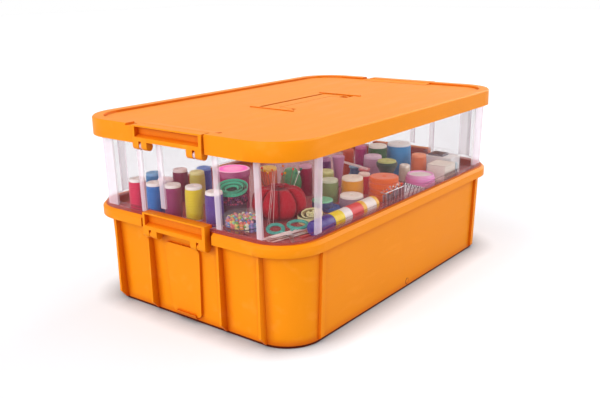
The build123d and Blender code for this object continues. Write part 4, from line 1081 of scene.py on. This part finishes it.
# %% Pins and needles
NEEDLE_STEEL = steel("needle_steel", (0.34, 0.31, 0.32), 0.3)
ROSY = gloss("needle_rosy", (216, 168, 166), 0.3)
GLASS = {name: gloss("pinhead_" + name, tone, 0.12) for name, tone in {
    "amber": (240, 160, 36), "red": (226, 60, 40), "teal": (30, 120, 96),
    "orange": (242, 120, 30), "white": (240, 236, 226)}.items()}
SHANKS = {name: gloss("shank_" + name, tone, 0.3) for name, tone in {
    "amber": (150, 84, 52), "red": (136, 42, 44), "teal": (28, 72, 62),
    "orange": (168, 96, 60), "white": (236, 226, 220)}.items()}
PINS = (
    ("amber", -134.9, -42.0, 137.0, -133.8, -31.7, 166.7),
    ("red", -134.2, -43.0, 137.0, -132.5, -34.9, 163.4),
    ("amber", -133.3, -43.6, 137.0, -131.2, -38.1, 160.1),
    ("teal", -136.0, -46.0, 137.0, -138.4, -33.0, 160.5),
    ("amber", -131.0, -46.0, 138.0, -129.7, -41.1, 157.8),
    ("orange", -130.0, -50.0, 138.0, -126.1, -44.2, 161.0),
    ("orange", -123.8, -54.9, 137.0, -117.6, -53.3, 165.2),
    ("amber", -122.8, -56.0, 137.0, -118.0, -56.3, 157.5),
    ("red", -121.8, -57.5, 137.0, -120.3, -53.8, 156.5),
    ("teal", -119.6, -62.9, 134.0, -110.4, -66.1, 157.4),
    ("teal", -118.6, -63.8, 134.0, -105.9, -69.9, 161.6),
    ("white", -118.2, -64.7, 134.0, -108.1, -68.6, 158.4),
    ("red", -120.4, -62.0, 134.0, -112.8, -64.0, 162.0),
    ("long", -164.0, -67.8, 110.0, -147.9, -64.0, 166.0),
    ("long", -160.6, -72.8, 110.0, -146.6, -65.6, 167.1),
    ("long", -163.2, -69.4, 110.0, -147.2, -64.9, 162.0),
)
BENT = Vector((-0.8, -0.6, 0.0)) * MM


def pins_in_cushion():
    piece = Moulding("cushion_pins")
    for kind, *ends in PINS:
        foot, head = Vector(ends[:3]) * MM, Vector(ends[3:]) * MM
        if kind == "long":
            path = [foot, foot.lerp(head, 0.45) + BENT, head]
            piece.skin(along(path, [0.26, 0.36, 0.26]), ROSY)
        else:
            path = [foot, foot.lerp(head, 0.5), head]
            piece.skin(along(path, [0.22, 0.32, 0.32]), SHANKS[kind])
            piece.skin(ball(head, 1.45, 10, 6), GLASS[kind])
    piece.make(slot="tool_steel")


pins_in_cushion()
print("pins and long needles", len(PINS))

# %% [markdown]
# Yarn is wound into a small ball by crossing turns. Tubes carried along tilted ellipses give
# the crossing strands, over a plain core that closes the gaps between them.

# %% Moss yarn
def closed_tube(path, radius, steps=6, squeeze=1.0):
    """Circles square to a closed path; squeeze flattens them upwards."""
    rings = []
    for index, point in enumerate(path):
        ahead = (Vector(path[(index + 1) % len(path)]) - Vector(path[index - 1])).normalized()
        side = ahead.cross(Vector((0.0, 0.0, 1.0)))
        side = side.normalized() if side.length > 0.05 else ahead.orthogonal()
        rings.append(hoop(Vector(point), side, side.cross(ahead) * squeeze, radius, steps))
    return rings


def moss_yarn(strands=22):
    dice = random.Random(5)
    centre, r, h = standing(solids("moss_yarn")[0])
    finish = textile("yarn_moss", (86, 158, 108), 40.0)
    middle = Vector(off(centre, 0.0, 0.0, h / 2))
    wide, tall = (r - 0.9) * MM, (h / 2 - 1.0) * MM
    piece = Moulding("moss_yarn_ball")
    core = [(r * 0.5, 1.2), (r * 0.84, h * 0.2), (r * 0.9, h * 0.5), (r * 0.84, h * 0.8),
            (r * 0.5, h - 1.2)]
    piece.skin(turned(core, centre, 24), finish)
    for turn in turns(strands):
        lean = Matrix.Rotation(dice.uniform(0.5, 1.25), 3, "X")
        spin = Matrix.Rotation(turn + dice.uniform(0, 0.2), 3, "Z")
        ring = [spin @ lean @ Vector((cos(t), sin(t), 0.0)) for t in turns(28)]
        path = [middle + Vector((p.x * wide, p.y * wide, p.z * tall)) for p in ring]
        piece.skin(closed_tube(path, 0.85), finish, looped=True)
    piece.make("moss_yarn")


moss_yarn()
print("yarn wound")

# %% [markdown]
# Bobbins are small reels with wide flanges; two of each colour stand on one another. Each flange
# is a skin of its own, and so is the thread between two flanges.

# %% Bobbins
def bobbins(colour, plastic, thread):
    node = "bobbins_" + colour
    centre, r, h = standing(solids(node)[0])
    plastic = gloss(f"bobbin_{colour}_plastic", plastic, 0.22)
    thread = textile(f"bobbin_{colour}_thread", thread)
    piece = Moulding(node + "_turned")
    step, flange = h / 2, h / 12
    for base in (0, step):
        top = base + step - flange
        for low in (base, top):
            rim = [(r - 0.3, low), (r, low + 0.4), (r, low + flange - 0.4),
                   (r - 0.3, low + flange)]
            piece.skin(turned(rim, centre, 32), plastic)
        piece.skin(turned(winding_outline(base + flange, top, 2.0, r - 1.2), centre, 32), thread)
    piece.make(node)


bobbins("blue", (110, 170, 200), (64, 116, 160))
bobbins("pink", (222, 130, 130), (196, 96, 104))
print("bobbins done")

# %% [markdown]
# Small scissors lie open on the tray's floor. The handles are two moulded loops, oval in
# section, whose shanks run to the screw; the blades are ground, thick at the spine and thin at
# the edge.

# %% Scissors
def over(x, y, rise):
    """A place in millimetres, its height counted from the tray's floor."""
    return Vector((x * MM, y * MM, FLOOR + rise * MM))


ACROSS, BACK = Vector((0.61, -0.79, 0.0)), Vector((0.79, 0.61, 0.0))
LOOPS = ((over(-176.3, -89.0, 5.0), 8.2, 8.6, 0.24), (over(-157.5, -104.5, 7.6), 10.2, 8.6, 0.16))
BLADE = ((-0.14, 2.4), (0.0, 3.2), (0.3, 3.0), (0.66, 2.2), (0.9, 1.0), (1.0, 0.25))


def scissors():
    teal = gloss("scissor_teal_plastic", (66, 164, 150), 0.2)
    screw, tip = over(-177.0, -108.5, 1.6), over(-195.5, -128.6, 0.0)
    piece = Moulding("scissor_handles_moulded")
    for loop, wide, deep, tilt in LOOPS:
        tilted = BACK + Vector((0.0, 0.0, tilt))
        path = [loop + ACROSS * cos(t) * (wide * MM) + tilted * sin(t) * (deep * MM)
                for t in turns(40)]
        piece.skin(closed_tube(path, 2.2, 12, 0.8), teal, looped=True)
        start = min(path, key=lambda point: (point - screw).length)
        bend = start.lerp(screw, 0.5) + lift(0.6)
        end = screw + (loop - screw).normalized() * 2.0 * MM
        piece.skin(along([start, bend, end], [2.0, 2.2, 1.8], 12), teal)
    piece.make("scissor_handles")
    ahead, up = (tip - screw).normalized(), lift(1.25)
    for end, base, sign in (("lower", 0.1, 1.0), ("upper", 1.6, -1.0)):
        node = "scissor_blade_" + end
        side = Vector((-ahead.y, ahead.x, 0.0)) * sign
        rings = []
        for share, half in BLADE:
            middle = screw.lerp(tip, share) + lift(base)
            spine, edge = side * half * MM, side * -half * 0.7 * MM
            rings.append([middle + edge, middle + spine, middle + spine + up,
                          middle + up * 0.7 + edge * 0.4, middle + edge + up * 0.12])
        Moulding(node + "_ground").skin(rings, TOOL_STEEL).make(node)


scissors()
drum("scissor_screw_head", "scissor_screw", (
    lambda r, h: [(2.9, 0), (3.0, 0.3), (2.6, 0.8), (1.0, 0.9)], TOOL_STEEL), steps=24)
print("scissors done")

# %% [markdown]
# Tweezers are two springy strips joined at one end, coloured a pale non-metal pink-white as a
# painted reflection of bright steel. Between the short pair and the floor lies a fan of ten loose
# needles, pale, dark and cream by turns as painted highlights and shade, held by a red band.

# %% Tweezers and loose needles
# Painted reflection: a pale, non-metal colour stands in for bright steel.
STEEL_GLINT_PALE = gloss("bright_needle", (255, 232, 228), 0.25)


def tweezer_pair(name, node, start, end, spread=1.6, bow=0.8, steps=12):
    ahead = (end - start).normalized()
    side = Vector((-ahead.y, ahead.x, 0.0))
    up = lift(1.5)
    piece = Moulding(name)
    for sign in (-1.0, 1.0):
        rings = []
        for share in (step / steps for step in range(steps + 1)):
            gap = 0.28 + 0.72 * sin(pi * min(1.0, share * 1.05)) ** bow
            point = start.lerp(end, share) + side * sign * (spread * gap * MM)
            half = side * ((0.35 + 0.75 * sin(pi * (0.1 + 0.75 * share))) * MM)
            rings.append([point - half, point + half, point + half + up, point - half + up])
        piece.skin(rings, STEEL_GLINT_PALE)
    piece.make(node)


def loose_needles():
    dice = random.Random(3)
    piece = Moulding("needle_bundle")
    dark = gloss("needle_umber_shade", (104, 44, 40), 0.3)
    cream = gloss("needle_cream_glint", (250, 220, 176), 0.3)
    for index in range(10):
        start = over(-203.5 + dice.uniform(-2, 2), -96.5 - index * 1.3, 0.8 + 0.3 * (index % 3))
        end = over(-159.0 + dice.uniform(-3, 3), -113.0 - index * 0.55, 1.6 - 0.1 * index)
        # Painted highlights and shade: the needles alternate pale, dark and cream.
        tone = (STEEL_GLINT_PALE, dark, STEEL_GLINT_PALE, cream)[index % 4]
        piece.skin(along([start, end], [0.42, 0.55]), tone)
    band = [over(*place, 0.2) for place in ((-174.5, -121.5), (-167.5, -123.1), (-161.5, -125.7))]
    piece.skin(strip(band, 4.2, 1.9), felt("needle_red_band", (214, 66, 60)))
    piece.make(slot="tool_steel")


tweezer_pair("tweezers_sprung", "tweezers", over(-209, -100, 4), over(-147, -115.5, 4))
tweezer_pair("long_tweezers_sprung", "long_tweezers", over(34, -69, 24), over(55, -5, 24))
loose_needles()
print("tweezers and needles done")

# %% [markdown]
# The glue tube is a roll of printed card with a plastic cap. The print is only bands of plain
# colour, each a skin of its own on the one turned form, which lies on its side along X.

# %% Glue tube
TUBE_RADIUS = 9.1
BANDS = (
    (0.00, 0.05, "yellow", (250, 220, 20)), (0.05, 0.12, "gold", (246, 206, 10)),
    (0.12, 0.20, "yellow", (250, 220, 20)), (0.20, 0.36, "white", (246, 238, 236)),
    (0.36, 0.62, "coral", (232, 70, 70)), (0.62, 0.70, "amber", (250, 190, 60)),
    (0.70, 0.92, "label", (246, 236, 230)), (0.92, 1.00, "end", (250, 190, 60)),
)


def lying(outline, start, y, z):
    """Upright circles along X for a list of (radius, distance from the start)."""
    rings = turned(outline, (y, z, start), 36)
    return [[(x, across, up) for across, up, x in ring] for ring in rings]


def glue_tube():
    low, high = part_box("glue_cap")
    y, z, r = (low.y + high.y) / 2 - 0.5 * MM, FLOOR + 9.2 * MM, TUBE_RADIUS
    near = low.x + 10.5 * MM
    end = (high.x - near) / MM - 7.0
    cap = [(r - 3.2, 0), (r - 1.4, 0.6), (r - 0.4, 2.2)]
    for x in (5.0 + groove * 2.2 for groove in range(5)):
        cap += [(r - 0.2, x), (r - 0.6, x + 0.5), (r - 0.2, x + 1.0)]
    cap += [(r, 20.0), (r, end - 1.2), (r - 0.5, end - 0.2), (r - 1.4, end)]
    navy = gloss("glue_cap_navy", (62, 56, 142), 0.25)
    Moulding("glue_cap_turned").skin(lying(cap, near, y, z), navy).make("glue_cap")
    low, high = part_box("glue_tube")
    near = low.x - 7.0 * MM
    length, r = (high.x - near) / MM - 8.0, r - 0.15
    piece = Moulding("glue_tube_card")
    finishes = {}
    for first, last, name, tone in BANDS:
        a, b = length * first, length * last
        outline = [(r, a), (r, a + (b - a) * 0.5), (r, b)]
        if name == "end":
            outline = [(r, a), (r, b - 1.6), (r - 0.4, b - 0.5), (r - 1.4, b), (r - 2.6, b),
                       (r - 3.0, b - 0.8)]
        if name not in finishes:
            finishes[name] = gloss("glue_band_" + name, tone, 0.35)
        piece.skin(lying(outline, near, y, z), finishes[name])
    piece.make("glue_tube")


glue_tube()
print("glue tube done")

# %% [markdown]
# The small boxes: an open wire-edged rack full of long pins whose heads stand at all heights, a
# strip of safety pins that slopes down beside it, a clear needle box with a dark and a white
# insert, and two little cartons.

# %% Cases and boxes
RACK_Y, RACK_END = -135.5, 6.5
RACK_WIDTH = 7.4
CARD_START, CARD_END = 8.5, 61.0


def measured(node):
    """A node's low corner, and its three sides in millimetres."""
    low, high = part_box(node)
    return low, [side / MM for side in high - low]


def pin_case():
    low, (_, _, height) = measured("pin_case")
    start, end = over(low.x / MM - 6, RACK_Y, 0), over(RACK_END, RACK_Y, 0)
    ahead, side = (end - start).normalized(), Vector((0.0, RACK_WIDTH * MM, 0.0))
    piece = Moulding("pin_case_filled")
    dice = random.Random(17)
    corners = [start.lerp(end, a) + side * b / 2
               for a, b in ((0.99, 0.9), (0.01, 0.9), (0.01, -0.9), (0.99, -0.9))]
    for rise in (0.5, height * 0.8):
        ring = [corner + lift(rise) for corner in corners]
        path = [ring[i].lerp(ring[(i + 1) % 4], s / 4) for i in range(4) for s in range(4)]
        piece.skin(closed_tube(path, 0.4), TOOL_STEEL, looped=True)
    heads = [GLASS[name] for name in ("orange", "red", "orange", "white", "red")]
    shanks = [NEEDLE_STEEL, gloss("pin_mauve", (196, 168, 178), 0.3),
              gloss("pin_plum", (112, 74, 90), 0.3)]
    for index in range(64):
        share, depth = dice.uniform(0.03, 0.97), dice.uniform(-0.36, 0.36)
        place = start.lerp(end, share) + side * depth
        foot = place + ahead * dice.uniform(-2.0, 2.0) * MM + lift(0.6)
        head = place + lift(height * dice.uniform(0.68, 0.97))
        piece.skin(along([foot, head], [0.34, 0.42]), shanks[index % 3])
        piece.skin(ball(head, 1.05), heads[index % 5])
    piece.make("pin_case")


def pin_card():
    low, (_, deep, tall) = measured("pin_card")
    piece = Moulding("pin_card_fan")
    clasp = gloss("pin_clasp_dark", (58, 34, 56), 0.2)
    # Painted light and shade: a lit, near-white copy of the nickel and a shaded, mauve-grey one.
    lit_nickel = gloss("safety_pin_nickel", (255, 250, 252), 0.25)
    shaded_nickel = gloss("safety_pin_shaded", (150, 124, 140), 0.3)
    y = low.y / MM + deep / 2
    crest = [over(CARD_START, y, tall + 1.5), over(CARD_END, y, 3.0)]
    for index in range(19):
        top = crest[0].lerp(crest[1], index / 18)
        x = top.x / MM
        foot = over(max(CARD_START, x - (top.z - FLOOR) / MM * 0.55), y - 0.3, 0.7)
        cross = over(min(CARD_END - 1.0, x + 3.0), y + 0.8, 0.8)
        shank = along([foot, foot.lerp(top, 0.5), top], [0.6, 0.6, 0.7])
        piece.skin(shank, lit_nickel if index % 3 else shaded_nickel)
        piece.skin(along([cross, top], [0.4, 0.5]), shaded_nickel)
        piece.skin(ball(top, 1.25), (clasp, lit_nickel)[index % 2])
    back = [crest[0] + Vector((0, 0.7, -1.6)) * MM, crest[1] + Vector((0, 0.7, -1.0)) * MM]
    piece.skin(along(back, 0.7), clasp)
    piece.make("pin_card")


def needle_box():
    low, (wide, deep, tall) = measured("needle_box")
    case = block(low, (0, 0, 0), (wide, deep, tall), 1.6, 4)
    Moulding("needle_box_case").skin(case, CASE_PLASTIC).make("needle_box")
    insert = Moulding("needle_box_insert")
    white = block(low, (1.6, 1.6, 0), (wide - 1.6, deep - 1.6, tall - 7.0), 1.2)
    insert.skin(white, gloss("insert_white", (252, 250, 250), 0.5))
    dark = block(low, (5, 16, tall - 6.9), (wide - 6, deep - 5, tall - 4.6), 1.4)
    insert.skin(dark, gloss("insert_dark", (120, 118, 126), 0.4))
    for x in (7 + index * 3.2 for index in range(6)):
        ends = (x, 18, tall - 4.2), (x + 0.4, deep - 7, tall - 4.2)
        insert.skin(along([low + Vector(end) * MM for end in ends], [0.3, 0.42]), TOOL_STEEL)
    insert.make(slot="clear_plastic")


def carton(node, tone, edge, seam):
    low, (wide, deep, tall) = measured(node)
    piece = Moulding(node + "_folded")
    # Painted shade: the felt finish darkens the card where surfaces meet close.
    card = felt(node + "_card", tone, 260.0)
    piece.skin(block(low, (0, 0, 0), (wide, deep, tall - 1.1), edge), card)
    flap = block(low, (0.3, 0.3, tall - 1.2), (wide - 0.3, deep - 0.3, tall), edge * 0.8)
    piece.skin(flap, card)
    if seam:
        line = gloss(node + "_seam", [value * 0.55 ** (1 / 2.2) for value in tone], 0.6)
        piece.skin(block(low, (2, 0, 7), (wide - 2, 0.25, 7.5), 0.1), line)
    piece.make(node)


pin_case()
pin_card()
needle_box()
carton("cream_box", (255, 240, 222), 1.2, True)
carton("blue_box", (206, 228, 246), 1.0, False)
print("cases done")
